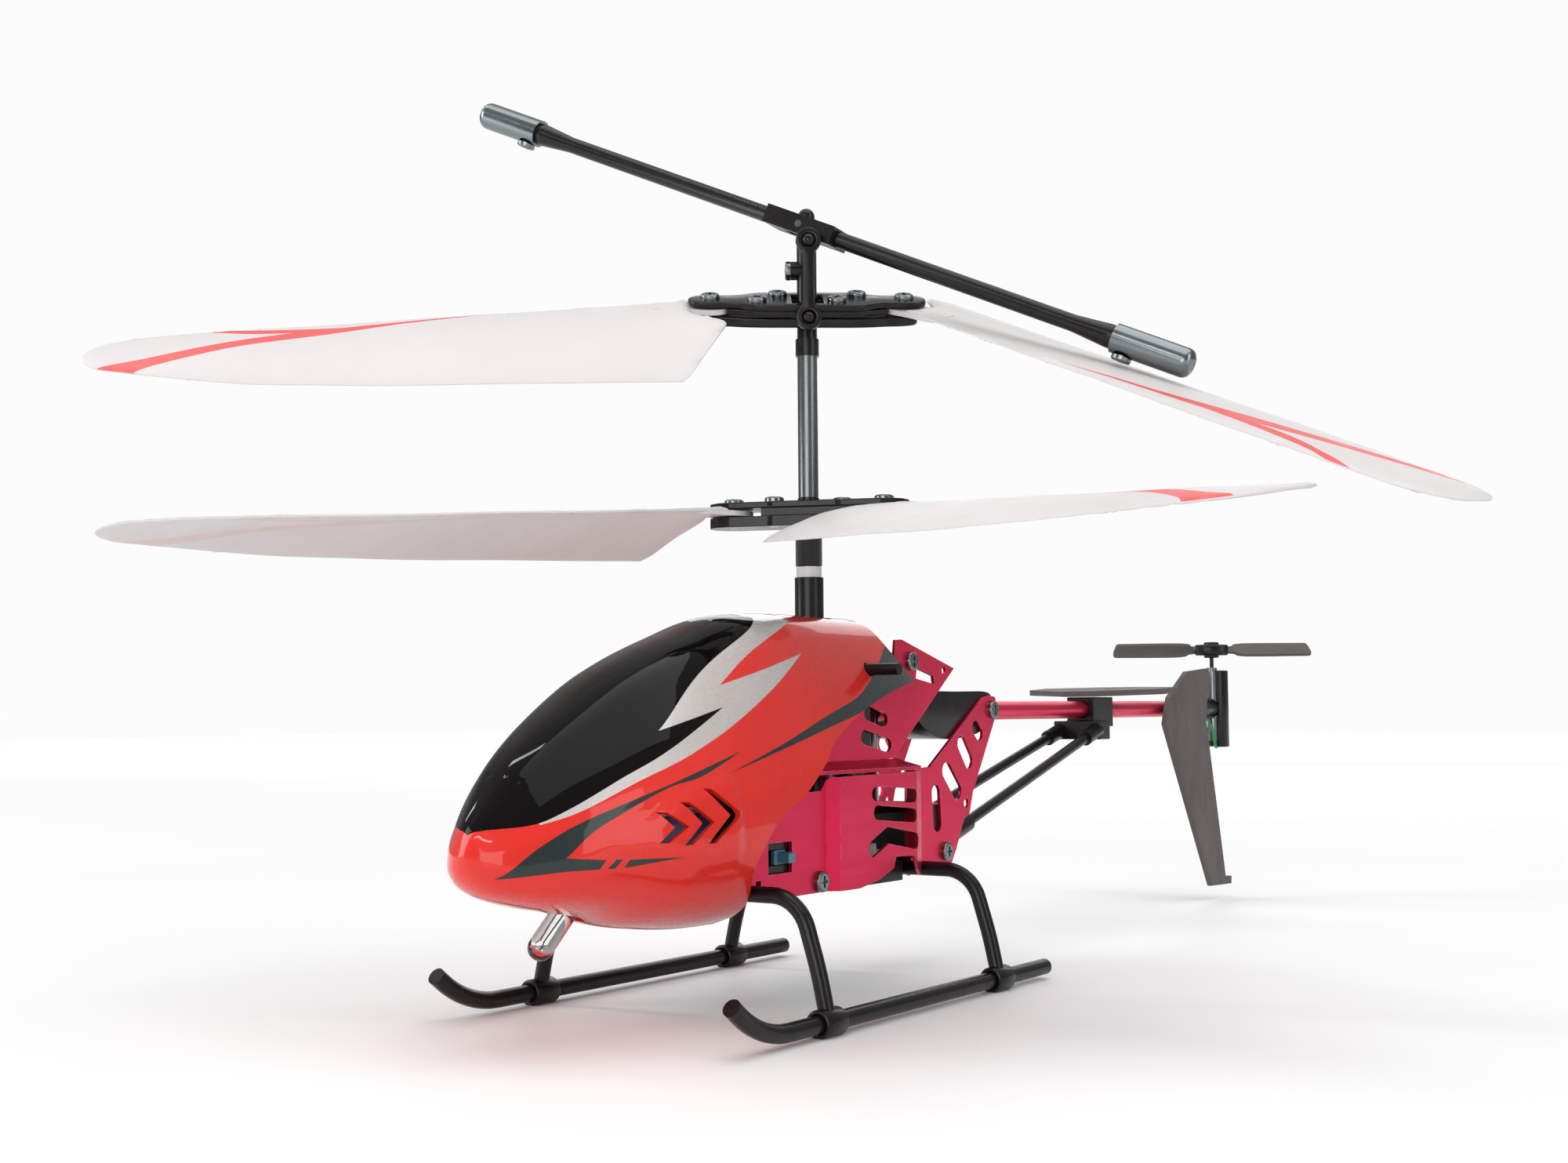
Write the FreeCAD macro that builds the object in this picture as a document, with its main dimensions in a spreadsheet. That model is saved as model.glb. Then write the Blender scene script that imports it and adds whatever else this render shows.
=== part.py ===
"""Palm-size coaxial remote control helicopter, as an assembly of separate pieces.

Millimetres. +Z is up, the nose points along -Y, +X is the helicopter's left side.
The origin is on the main mast's axis, at the belly tray's flat underside.
"""
import FreeCAD, Part
import math
import os

import Sketcher

V = FreeCAD.Vector
doc = FreeCAD.newDocument("helicopter")

# ---------------------------------------------------------------- driving dimensions
DIMENSIONS = {
    "sheet_metal": 0.5,        # thickness of every frame plate
    "upper_plate_x": 6.6,      # inner face of the upper and rear plates
    "lower_plate_x": 10.6,     # inner face of the lower front plates
    "bulge_x": 12.0,           # inner face of the bulged side panels
    "tray_width": 20.8,
    "tray_thick": 2.6,
    "leg_height": 1.3,         # height of the leg roots above the tray's underside
    "leg_radius": 1.0,
    "skid_radius": 1.1,
    "skid_spacing": 45.0,      # between the two skid tubes
    "skid_drop": 13.0,         # from the tray's underside down to the skid axis
    "front_leg_y": -30.1,
    "rear_leg_y": 11.5,
    "collar_radius": 1.7,
    "collar_length": 4.4,
    "shaft_radius": 1.0,       # inner rotor shaft
    "shaft_gap": 0.05,         # running clearance of every shaft
    "tube_radius": 1.5,        # outer rotor tube
    "mast_radius": 2.0,
    "mast_bottom": 21.4,
    "mast_top": 41.7,
    "lower_hub_z": 50.8,       # mid height of the lower rotor's grip
    "lower_hub_half": 14.2,
    "lower_pivot_radius": 10.7,
    "upper_hub_z": 79.6,       # mid height of the upper rotor's grip
    "upper_hub_half": 16.7,
    "upper_pivot_radius": 13.6,
    "flybar_z": 91.1,
    "flybar_half": 59.0,
    "flybar_radius": 1.15,
    "blade_length": 88.0,      # from the pivot to the tip
    "blade_chord": 20.0,
    "blade_thick": 0.7,
    "gear_radius": 8.7,
    "gear_thick": 1.8,
    "pinion_radius": 1.3,
    "motor_radius": 4.0,
    "motor_height": 13.0,
    "motor_offset": 10.15,     # between a motor's axis and the mast's axis
    "boom_z": 23.1,
    "boom_radius": 1.5,
    "boom_front": 16.0,
    "boom_back": 138.5,
    "tail_rotor_y": 146.3,
    "tail_rotor_z": 35.0,
    "tail_rotor_radius": 19.8,
    "tail_motor_radius": 2.3,
    "battery_width": 14.0,
    "battery_length": 24.0,
    "battery_height": 8.0,
    "screw_head_radius": 1.35,
    "screw_head_height": 0.7,
    "led_radius": 1.5,
    "led_length": 7.6,
}
sheet = doc.addObject("Spreadsheet::Sheet", "Dimensions")
for row, (alias, number) in enumerate(DIMENSIONS.items(), 1):
    sheet.set(f"A{row}", alias)
    sheet.set(f"B{row}", str(number))
    sheet.setAlias(f"B{row}", alias)
doc.recompute()


def dim(alias):
    """The sheet's value of one driving dimension."""
    return float(sheet.get(alias))


# ---------------------------------------------------------------- building helpers
PARTS = []


def keep(obj, label, place=None):
    """Name a finished sub-part and put it where it belongs."""
    obj.Label = label
    if place is not None:
        obj.Placement = place
    PARTS.append(obj)
    return obj


def bind(obj, **expressions):
    """Tie properties to cells of the sheet; '__' in a name stands for a dot."""
    for name, expression in expressions.items():
        text = expression
        for alias in sorted(DIMENSIONS, key=len, reverse=True):
            text = text.replace(f"<{alias}>", f"Dimensions.{alias}")
        obj.setExpression(name.replace("__", "."), text)


def new_body(name):
    return doc.addObject("PartDesign::Body", name)


def sketch_on(body, role, name, offset=0.0):
    """An empty sketch on one of the body's origin planes."""
    sketch = body.newObject("Sketcher::SketchObject", name)
    plane = [o for o in body.Origin.OriginFeatures if o.Role == role][0]
    sketch.AttachmentSupport = [(plane, "")]
    sketch.MapMode = "FlatFace"
    sketch.AttachmentOffset = FreeCAD.Placement(V(0, 0, offset), FreeCAD.Rotation())
    return sketch


def draw_polygon(sketch, points):
    corners = [V(a, b, 0) for a, b in points]
    for start, end in zip(corners, corners[1:] + corners[:1]):
        sketch.addGeometry(Part.LineSegment(start, end), False)


def draw_circle(sketch, centre, radius, radius_cell=None):
    """A circle; its radius may be tied to a cell of the sheet."""
    circle = Part.Circle(V(centre[0], centre[1], 0), V(0, 0, 1), radius)
    index = sketch.addGeometry(circle, False)
    constraint = sketch.addConstraint(Sketcher.Constraint("Radius", index, radius))
    if radius_cell:
        sketch.setExpression(f"Constraints[{constraint}]", f"Dimensions.{radius_cell}")


def draw_slot(sketch, start, end, radius):
    """An obround from start to end."""
    a = V(start[0], start[1], 0)
    b = V(end[0], end[1], 0)
    along = (b - a).normalize()
    side = V(-along.y, along.x, 0) * radius
    base = math.atan2(along.y, along.x)
    quarter = math.pi / 2
    sketch.addGeometry(Part.LineSegment(a + side, b + side), False)
    sketch.addGeometry(Part.LineSegment(a - side, b - side), False)
    far_end = Part.ArcOfCircle(Part.Circle(b, V(0, 0, 1), radius), base - quarter, base + quarter)
    near_end = Part.ArcOfCircle(Part.Circle(a, V(0, 0, 1), radius), base + quarter, base + 3 * quarter)
    sketch.addGeometry(far_end, False)
    sketch.addGeometry(near_end, False)


def pad(body, sketch, name, length, both_ways=False):
    """Pad a sketch; length is an expression over the sheet's cells."""
    feature = body.newObject("PartDesign::Pad", name)
    feature.Profile = sketch
    if both_ways:
        feature.SideType = 2
    bind(feature, Length=length)
    doc.recompute()
    return feature


def pocket_through(body, sketch, name):
    """Cut a sketch through everything, on both sides of its plane."""
    before = body.Shape.Volume
    feature = body.newObject("PartDesign::Pocket", name)
    feature.Profile = sketch
    feature.SideType = 2
    feature.Type = 0
    feature.Length = 200
    doc.recompute()
    if body.Shape.Volume > before - 1e-6:
        raise ValueError(f"{name} cuts nothing")
    return feature


def cylinder(name, radius, height, base, axis=V(0, 0, 1)):
    """A round bar bound to the sheet; radius and height are expressions."""
    bar = doc.addObject("Part::Cylinder", name)
    bind(bar, Radius=radius, Height=height)
    bar.Placement = FreeCAD.Placement(base, FreeCAD.Rotation(V(0, 0, 1), axis))
    return bar


def cut(name, base, *tools):
    result = base
    for number, tool in enumerate(tools):
        step = doc.addObject("Part::Cut", f"{name}_cut_{number}")
        step.Base = result
        step.Tool = tool
        result = step
    return result


def fuse(name, *shapes):
    joined = doc.addObject("Part::MultiFuse", name)
    joined.Shapes = list(shapes)
    joined.Refine = True
    return joined


def rod(radius, length, start, direction):
    """A plain cylinder from a start point along a direction."""
    return Part.makeCylinder(radius, length, start, direction)


def facing(place, direction):
    """A placement that turns +Z towards a direction."""
    return FreeCAD.Placement(place, FreeCAD.Rotation(V(0, 0, 1), direction))


def feature(name, shape):
    """A piece shaped by Part's own functions."""
    obj = doc.addObject("Part::Feature", name)
    obj.Shape = shape
    return obj


def mirror_left_to_right(source, label):
    """The right-hand twin of a left-hand piece."""
    twin = doc.addObject("Part::Mirroring", label)
    twin.Source = source
    twin.Normal = V(1, 0, 0)
    return keep(twin, label)


def tube_along(points, radius, bend=0.45):
    """A round bar along straight runs joined by tangent arcs."""
    edges = []
    start = points[0]
    for before, corner, after in zip(points, points[1:], points[2:]):
        into = (corner - before)
        out = (after - corner)
        turn = into.getAngle(out)
        reach = bend * min(into.Length, out.Length)
        arc_radius = reach / math.tan(turn / 2)
        first = corner - into.normalize() * reach
        last = corner + out.normalize() * reach
        to_centre = (into * -1 + out).normalize()
        sagitta = arc_radius / math.cos(turn / 2) - arc_radius
        middle = corner + to_centre * sagitta
        edges.append(Part.LineSegment(start, first).toShape())
        edges.append(Part.Arc(first, middle, last).toShape())
        start = last
    edges.append(Part.LineSegment(start, points[-1]).toShape())
    direction = (points[1] - points[0]).normalize()
    ring = Part.Wire(Part.makeCircle(radius, points[0], direction))
    return Part.Wire(edges).makePipeShell([ring], True, False)


# ---------------------------------------------------------------- canopy
# Stations from nose to tail: Y, half width, top, bottom.
CANOPY_STATIONS = [
    (-66.5, 1.5, 9.5, 5.5), (-64, 5.5, 13.6, 3.2), (-59, 9, 18.9, 1.6), (-52, 12, 23.8, 0.2),
    (-43, 14.2, 28.8, -2.2), (-32, 15, 32.9, -3.3), (-22, 15, 35.6, -3.4), (-8, 14.6, 36.3, -3),
    (8, 13.5, 36.2, -3), (16, 12.5, 35.5, -3),
]
# Half section: height from bottom to top and share of the half width.
CANOPY_PROFILE = [(0, 0), (0.03, 0.45), (0.12, 0.8), (0.3, 1), (0.5, 0.97), (0.7, 0.8), (0.86, 0.58),
                  (0.97, 0.34), (1, 0)]
CANOPY_REAR_EDGE = [(-29, -1.8), (-31.4, 1.5), (-33.3, 4.6), (-32.2, 7.4), (-28.6, 10.6), (-23.2, 13.2),
                    (-18.2, 16.8), (-14, 19.7), (-5.2, 23.2), (5.5, 26), (13, 27.3), (12.6, 28),
                    (10.4, 30.4), (8.3, 33.1), (6.7, 36)]
CANOPY_WALL = 0.7
CHEVRONS = [(-45.5, 10.3, 2.8, 1.7), (-41.5, 10.6, 3.6, 2.4), (-37, 11.3, 4.4, 3.1)]


def canopy_solid(inset):
    wires = []
    for y, half, top, bottom in CANOPY_STATIONS:
        y += inset if y == CANOPY_STATIONS[0][0] else 0
        half, top, bottom = half - inset, top - inset, bottom + inset
        left = [V(share * half, y, bottom + t * (top - bottom)) for t, share in CANOPY_PROFILE]
        right = [V(-p.x, p.y, p.z) for p in reversed(left[1:-1])]
        curve = Part.BSplineCurve()
        curve.interpolate(left + right, PeriodicFlag=True)
        wires.append(Part.Wire(curve.toShape()))
    return Part.makeLoft(wires, True, False)


def prism_x(outline, low, high):
    """A YZ outline swept along X."""
    corners = [V(low, y, z) for y, z in outline]
    return Part.Face(Part.makePolygon(corners + corners[:1])).extrude(V(high - low, 0, 0))


def chevron_cutter(tip_y, mid_z, reach, rise, width=0.9):
    outline = [(tip_y, mid_z), (tip_y - reach, mid_z + rise), (tip_y - reach - width, mid_z + rise),
               (tip_y - width * 1.6, mid_z), (tip_y - reach - width, mid_z - rise),
               (tip_y - reach, mid_z - rise)]
    return prism_x(outline, -20, 20)


canopy_shape = canopy_solid(0).cut(canopy_solid(CANOPY_WALL))
behind = CANOPY_REAR_EDGE + [(6.7, 50), (60, 50), (60, -30), (-29, -30)]
canopy_shape = canopy_shape.cut(prism_x(behind, -30, 30))
for chevron in CHEVRONS:
    canopy_shape = canopy_shape.cut(chevron_cutter(*chevron))
PEG_Y, PEG_Z, PEG_RADIUS = 0.5, 28.8, 0.8
mast_hole = Part.makeCylinder(dim("mast_radius") + 0.3, 30, V(0, 0, 30))
peg_hole = Part.makeCylinder(PEG_RADIUS + 0.1, 60, V(-30, PEG_Y, PEG_Z), V(1, 0, 0))
LED_BASE = V(0, -49.8, 1.2)
LED_AXIS = V(0, -0.74, -0.67)
led_hole = Part.makeCylinder(dim("led_radius") + 0.25, 8, LED_BASE - LED_AXIS * 3, LED_AXIS)
clearance = 0.1
leg_notch = rod(dim("leg_radius") + 0.25, 60, V(-30, dim("front_leg_y"), dim("leg_height")), V(1, 0, 0))
canopy_shape = canopy_shape.cut(mast_hole).cut(peg_hole).cut(led_hole).cut(leg_notch)
keep(feature("CanopyShell", canopy_shape), "canopy")

led = doc.addObject("Part::Fuse", "LedBulb")
led.Base = cylinder("LedBarrel", "<led_radius>", "<led_length>", V(0, 0, -1))
led.Tool = doc.addObject("Part::Sphere", "LedDome")
bind(led.Tool, Radius="<led_radius>")
led.Tool.Placement.Base = V(0, 0, -1 + dim("led_length"))
keep(led, "nose_led", FreeCAD.Placement(LED_BASE, FreeCAD.Rotation(V(0, 0, 1), LED_AXIS)))
holder = cut("LedHolder", cylinder("HolderBlock", "<led_radius> * 1.4", "2.2", V(0, 0, -3.4)),
             cylinder("HolderBore", "<led_radius> * 0.5", "9", V(0, 0, -6)))
keep(holder, "led_holder", FreeCAD.Placement(LED_BASE, FreeCAD.Rotation(V(0, 0, 1), LED_AXIS)))

# ---------------------------------------------------------------- belly tray and battery bay
SCREW_BORE = 0.7
STEP_Y = -27.7      # ahead of this the tray rises clear of the canopy
FRONT_SCREW, REAR_SCREW, BOOM_SCREW, UPPER_SCREW = (-14.4, 1.5), (24.6, 2.6), (39.3, 23.2), (15.2, 30.2)
tray = new_body("BellyTray")
tray_outline = sketch_on(tray, "XY_Plane", "TrayOutline")
half = dim("tray_width") / 2
left_edge = [(4.6, -45), (7.2, -38), (half, -32), (half, 7), (8.4, 9.4), (6.3, 12.6), (6.3, 15)]
draw_polygon(tray_outline, left_edge + [(-x, y) for x, y in reversed(left_edge)])
pad(tray, tray_outline, "TrayPad", "<tray_thick>")
leg_holes = sketch_on(tray, "YZ_Plane", "LegSockets")
for leg_y in (dim("front_leg_y"), dim("rear_leg_y")):
    draw_circle(leg_holes, (leg_y, dim("leg_height")), dim("leg_radius"), "leg_radius")
draw_circle(leg_holes, FRONT_SCREW, SCREW_BORE)
pocket_through(tray, leg_holes, "LegSocketBores")
nose_step = sketch_on(tray, "XY_Plane", "NoseStep")
draw_polygon(nose_step, [(-12, -50), (12, -50), (12, STEP_Y), (-12, STEP_Y)])
raised = tray.newObject("PartDesign::Pocket", "NoseStepPocket")
raised.Profile = nose_step
raised.Reversed = True
bind(raised, Length="0.5 mm")
shaft_seat = sketch_on(tray, "XY_Plane", "ShaftSeat", dim("tray_thick"))
draw_circle(shaft_seat, (0, 0), dim("shaft_radius") + dim("shaft_gap"))
seat = tray.newObject("PartDesign::Pocket", "ShaftSeatPocket")
seat.Profile = shaft_seat
bind(seat, Length="<tray_thick> - 0.6")
keep(tray, "belly_tray")

battery = doc.addObject("Part::Box", "Battery")
bind(battery, Length="<battery_width>", Width="<battery_length>", Height="<battery_height>")
battery_cell = doc.addObject("Part::Fillet", "BatteryCell")
battery_cell.Base = battery
doc.recompute()
battery_cell.Edges = [(i, 1.2, 1.2) for i in range(1, 13)]
keep(battery_cell, "battery_pack", FreeCAD.Placement(V(-7, -46, 3.0), FreeCAD.Rotation()))

board = doc.addObject("Part::Box", "Board")
bind(board, Length="1", Width="18", Height="12")
chips = []
for number, (y, z, wide) in enumerate([(2, 2, 4), (8, 6, 5), (13, 1.5, 3)]):
    chip = doc.addObject("Part::Box", f"Chip{number}")
    bind(chip, Length="1.9", Width=str(wide), Height="3")
    chip.Placement.Base = V(-0.9, y, z)
    chips.append(chip)
keep(fuse("CircuitBoard", board, *chips), "circuit_board",
     FreeCAD.Placement(V(8.0, -31.5, 2.8), FreeCAD.Rotation()))

SWITCH_Y, SWITCH_Z = -23.2, 5.1
switch_case = doc.addObject("Part::Box", "SwitchCase")
bind(switch_case, Length="1.4", Width="6.4", Height="4.4")
switch_slot = doc.addObject("Part::Box", "SwitchSlot")
bind(switch_slot, Length="1.2", Width="4.6", Height="2")
switch_slot.Placement.Base = V(0.6, 0.9, 1.2)
keep(cut("SwitchBody", switch_case, switch_slot), "switch_body",
     FreeCAD.Placement(V(9.05, SWITCH_Y - 3.2, SWITCH_Z - 2.2), FreeCAD.Rotation()))
slider_foot = doc.addObject("Part::Box", "SliderFoot")
bind(slider_foot, Length="0.6", Width="2.4", Height="1.8")
slider_lever = doc.addObject("Part::Box", "SliderLever")
bind(slider_lever, Length="2", Width="1.4", Height="1.3")
slider_lever.Placement.Base = V(0.5, 0.5, 0.25)
keep(fuse("SwitchSlider", slider_foot, slider_lever), "switch_slider",
     FreeCAD.Placement(V(9.75, SWITCH_Y - 0.2, SWITCH_Z - 0.9), FreeCAD.Rotation()))

SOCKET_Y, SOCKET_Z = -25.0, 6.0
socket_body = fuse("SocketBody", cylinder("SocketBlock", "1.9", "3.2", V(0, 0, 0)),
                   cylinder("SocketNose", "1.3", "4.15", V(0, 0, 0)))
socket = cut("ChargeSocket", socket_body, cylinder("SocketBore", "1", "3.65", V(0, 0, 0.5)))
keep(socket, "charge_socket",
     FreeCAD.Placement(V(-7.25, SOCKET_Y, SOCKET_Z), FreeCAD.Rotation(V(0, 0, 1), V(-1, 0, 0))))

# ---------------------------------------------------------------- frame plates
thick = dim("sheet_metal")


def slot_cutter(start, end, radius):
    """An obround hole through a left-hand plate, in YZ."""
    a, b = V(0, *start), V(0, *end)
    direction = b - a
    middle = Part.makeBox(40, direction.Length, radius * 2, V(0, 0, -radius))
    angle = math.degrees(math.atan2(direction.z, direction.y))
    middle.Placement = FreeCAD.Placement(a, FreeCAD.Rotation(V(1, 0, 0), angle))
    ends = [Part.makeCylinder(radius, 40, p, V(1, 0, 0)) for p in (a, b)]
    return middle.fuse(ends).removeSplitter()


lower_x, bulge_x, upper_x = dim("lower_plate_x"), dim("bulge_x"), dim("upper_plate_x")
side_path = [(lower_x, -34), (lower_x, -12.9), (bulge_x, -11.6), (bulge_x, 7.5), (bulge_x - 0.8, 9.8),
             (upper_x + 1.6, 12.0), (upper_x, 14), (upper_x, 42)]
inner = [V(x, y, 0) for x, y in side_path]
outer = [V(x + thick, y + (0.2 if 8 < y < 20 else 0), 0) for x, y in side_path]
band = Part.Face(Part.makePolygon(inner + outer[::-1] + inner[:1])).extrude(V(0, 0, 40))
LOWER_OUTLINE = [(-31, 4), (-29.2, 0.4), (-28.6, 0.4), (-28.4, 2.6), (-27.4, 2.6), (-27.2, 0.3), (-10, 0.1),
                 (-7, 0.1), (-2.5, 0.8), (1.4, 2.1), (2, 3.6), (6.6, 3.4), (8, 1.5), (9.5, 0.5), (10.2, 2.6),
                 (12.4, 2.6), (13, -0.2), (26.1, 0.4), (27.8, 2.7), (30.3, 7.1), (32, 7.8), (33.1, 10.9),
                 (40.3, 21.8), (41.1, 23.8), (40.4, 25.2), (38.7, 25.4), (36.6, 25.1), (20.4, 15), (17, 14.9),
                 (-12.5, 14.7), (-14, 13), (-31, 12.8)]
lower_shape = band.common(prism_x(LOWER_OUTLINE, 0, 30))
for start, end, radius in [((-3, 12.2), (6.6, 11.6), 0.95), ((-2.6, 9.7), (6.6, 8.9), 0.95),
                           ((-3.8, 5), (0, 6.6), 1.1), ((0, 6.6), (7.2, 5.4), 1.1),
                           ((22, 11.2), (22.4, 6.7), 1.15), ((25.3, 14.3), (28.3, 11.2), 1.3),
                           ((29.8, 18.2), (31.9, 15.6), 1.2), ((34.2, 20.5), (35.3, 19.6), 1.1),
                           ((31, 9.3), (31.01, 9.3), 0.7)]:
    lower_shape = lower_shape.cut(slot_cutter(start, end, radius))
switch_window = prism_x([(-25.8, 3.2), (-20.7, 3.2), (-20.7, 7), (-25.8, 7)], 0, 20)
socket_window = Part.makeCylinder(1.4, 20, V(0, SOCKET_Y, SOCKET_Z), V(-1, 0, 0))
for y, z in (FRONT_SCREW, REAR_SCREW, BOOM_SCREW):
    lower_shape = lower_shape.cut(Part.makeCylinder(0.8, 20, V(0, y, z), V(1, 0, 0)))
for leg_y in (dim("front_leg_y"), dim("rear_leg_y")):
    leg_hole = rod(dim("leg_radius") + clearance, 20, V(0, leg_y, dim("leg_height")), V(1, 0, 0))
    lower_shape = lower_shape.cut(leg_hole)
keep(feature("LeftLowerPlate", lower_shape.cut(switch_window)), "left_lower_plate")
right_shape = lower_shape.mirror(V(0, 0, 0), V(1, 0, 0)).cut(socket_window)
keep(feature("RightLowerPlate", right_shape), "right_lower_plate")

upper_plate = new_body("UpperPlate")
upper_outline = sketch_on(upper_plate, "YZ_Plane", "UpperOutline", upper_x)
draw_polygon(upper_outline, [(-18, 15.3), (11.2, 16.6), (11.9, 17.7), (27.8, 29.4), (12.9, 33.3),
                             (11.3, 33.2), (10.9, 30.5), (-10, 30.5), (-18, 24)])
pad(upper_plate, upper_outline, "UpperPad", "<sheet_metal>")
holes = sketch_on(upper_plate, "YZ_Plane", "UpperHoles")
draw_slot(holes, (3.8, 22.9), (7.9, 21.9), 1.0)
draw_slot(holes, (2.9, 19.6), (8.8, 18.4), 1.0)
draw_polygon(holes, [(17, 29.3), (21.7, 28.2), (22, 27), (16.7, 27.8)])
draw_circle(holes, (24.8, 29), 0.6)
draw_circle(holes, UPPER_SCREW, 0.75)
draw_circle(holes, (PEG_Y, PEG_Z), PEG_RADIUS)
pocket_through(upper_plate, holes, "UpperCutouts")
flange = sketch_on(upper_plate, "XZ_Plane", "FlangeSection", -11.0)
low = 15.1
draw_polygon(flange, [(upper_x + 0.02, low + 0.6), (upper_x + thick, low + 1.4), (lower_x + 0.6, low + 0.4),
                      (lower_x + 0.6, low - 0.1), (upper_x + thick, low + 0.6)])
pad(upper_plate, flange, "FlangePad", "28")
keep(upper_plate, "left_upper_plate")
mirror_left_to_right(upper_plate, "right_upper_plate")

pegs = doc.addObject("Part::MultiFuse", "CanopyPegs")
pegs.Shapes = [cylinder(f"Peg{side}", str(PEG_RADIUS), "8.3", V(side * 5.9, PEG_Y, PEG_Z), V(side, 0, 0))
               for side in (1, -1)]
keep(pegs, "canopy_pegs")

# ---------------------------------------------------------------- mast, motors and gears
clear = dim("shaft_gap")
shelf = new_body("MotorShelf")
shelf_outline = sketch_on(shelf, "XY_Plane", "ShelfOutline", 8.9)
draw_polygon(shelf_outline, [(-6.5, -15), (6.5, -15), (6.5, 15), (-6.5, 15)])
draw_circle(shelf_outline, (0, 0), dim("tube_radius") + clear)
for side in (-1, 1):
    draw_circle(shelf_outline, (0, side * dim("motor_offset")), 0.9)
pad(shelf, shelf_outline, "ShelfPad", "1.4")
keep(shelf, "motor_shelf")

mast_base = doc.addObject("Part::Box", "MastBaseBlock")
bind(mast_base, Length="13", Width="11.2", Height="9")
mast_base.Placement.Base = V(-6.5, -5.6, 18)
mast_seat = cylinder("MastSeat", "<mast_radius>", "20", V(0, 0, dim("mast_bottom")))
base_block = cut("MastBase", mast_base, mast_seat,
                 cylinder("MastBore", "<tube_radius> + <shaft_gap>", "20", V(0, 0, 10)))
keep(base_block, "mast_base")
sleeve = cut("MastSleeve", cylinder("SleeveBar", "<mast_radius>", "<mast_top> - <mast_bottom>",
                                    V(0, 0, dim("mast_bottom"))),
             cylinder("SleeveBore", "<tube_radius> + <shaft_gap>", "40", V(0, 0, dim("mast_bottom") - 1)))
keep(sleeve, "mast_sleeve")
spacer = cut("MastSpacer", cylinder("SpacerBar", "<mast_radius> - 0.25", "1.5", V(0, 0, dim("mast_top"))),
             cylinder("SpacerBore", "<tube_radius> + <shaft_gap>", "4", V(0, 0, dim("mast_top") - 1)))
keep(spacer, "mast_spacer_ring")

motor_solids = []
for name, side in (("front", -1), ("rear", 1)):
    bottom = 10.3
    can = cylinder(f"{name}Can", "<motor_radius>", "<motor_height>", V(0, side * dim("motor_offset"), bottom))
    boss = cylinder(f"{name}Boss", "1.6", "1.2",
                    V(0, side * dim("motor_offset"), bottom + dim("motor_height")))
    motor_solids.append(fuse(f"{name}Motor", can, boss))
main_motors = doc.addObject("Part::Compound", "MainMotors")
main_motors.Links = motor_solids
keep(main_motors, "main_motors")


def gear(name, radius, teeth, thickness, bore, hub_radius, hub_height, centre):
    """A spur gear: toothed rim, three lightening windows and a hub."""
    root, tip = radius - 0.3, radius + 0.25
    points = []
    for tooth in range(teeth):
        for share, r in ((0, root), (0.25, root), (0.4, tip), (0.6, tip), (0.85, root)):
            angle = 2 * math.pi * (tooth + share) / teeth
            points.append(V(r * math.cos(angle), r * math.sin(angle), 0))
    blank = Part.Face(Part.makePolygon(points + points[:1])).extrude(V(0, 0, thickness))
    if hub_height:
        blank = blank.fuse(Part.makeCylinder(hub_radius, thickness + hub_height))
    if radius > 5:
        for third in range(3):
            angle = 2 * math.pi * third / 3
            spot = V(math.cos(angle) * radius * 0.58, math.sin(angle) * radius * 0.58, -1)
            blank = blank.cut(Part.makeCylinder(radius * 0.2, 9, spot))
    if bore:
        blank = blank.cut(Part.makeCylinder(bore, 20, V(0, 0, -5)))
    return FreeCAD.Placement(centre, FreeCAD.Rotation()), blank


MAIN_TEETH, PINION_TEETH = 60, 9
gear_thick, offset = dim("gear_thick"), dim("motor_offset")
place, shape = gear("upper", dim("gear_radius"), MAIN_TEETH, gear_thick, dim("shaft_radius"), 2.2, 0.8,
                    V(0, 0, 3.1))
keep(feature("UpperRotorGear", shape), "upper_rotor_gear", place)
place, shape = gear("lower", dim("gear_radius"), MAIN_TEETH, gear_thick, dim("tube_radius"), 2.4, 0.4,
                    V(0, 0, 6.3))
keep(feature("LowerRotorGear", shape), "lower_rotor_gear", place)
half_tooth = math.degrees(math.pi / PINION_TEETH)
for name, side, z in (("front", -1, 3.1), ("rear", 1, 6.3)):
    shape = gear(name, dim("pinion_radius"), PINION_TEETH, gear_thick, 0, 0, 0, V())[1]
    shape = shape.fuse(Part.makeCylinder(0.5, 10.2 - z, V(0, 0, 0)))
    turn = 90 * side + 180 + half_tooth
    keep(feature(f"{name}Pinion", shape), f"{name}_motor_pinion",
         FreeCAD.Placement(V(0, side * offset, z), FreeCAD.Rotation(V(0, 0, 1), turn)))

hub_z, hub_top, hub_low = dim("lower_hub_z"), dim("lower_hub_z") + 2.0, dim("lower_hub_z") - 2.0
shaft_parts = [cylinder("ShaftLow", "<shaft_radius>", "<upper_hub_z> - 1.2 - 0.7", V(0, 0, 0.7)),
               cylinder("ShaftWide", "1.4", "<upper_hub_z> - 6.8 - <lower_hub_z> - 2.1",
                        V(0, 0, hub_top + 0.1))]
keep(fuse("InnerShaft", *shaft_parts), "inner_shaft")
outer = cut("OuterTube", cylinder("TubeBar", "<tube_radius>", "<lower_hub_z> + 2 - 6.3", V(0, 0, 6.3)),
            cylinder("TubeBore", "<shaft_radius> + <shaft_gap>", "70", V(0, 0, 1)))
keep(outer, "outer_rotor_tube")


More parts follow.
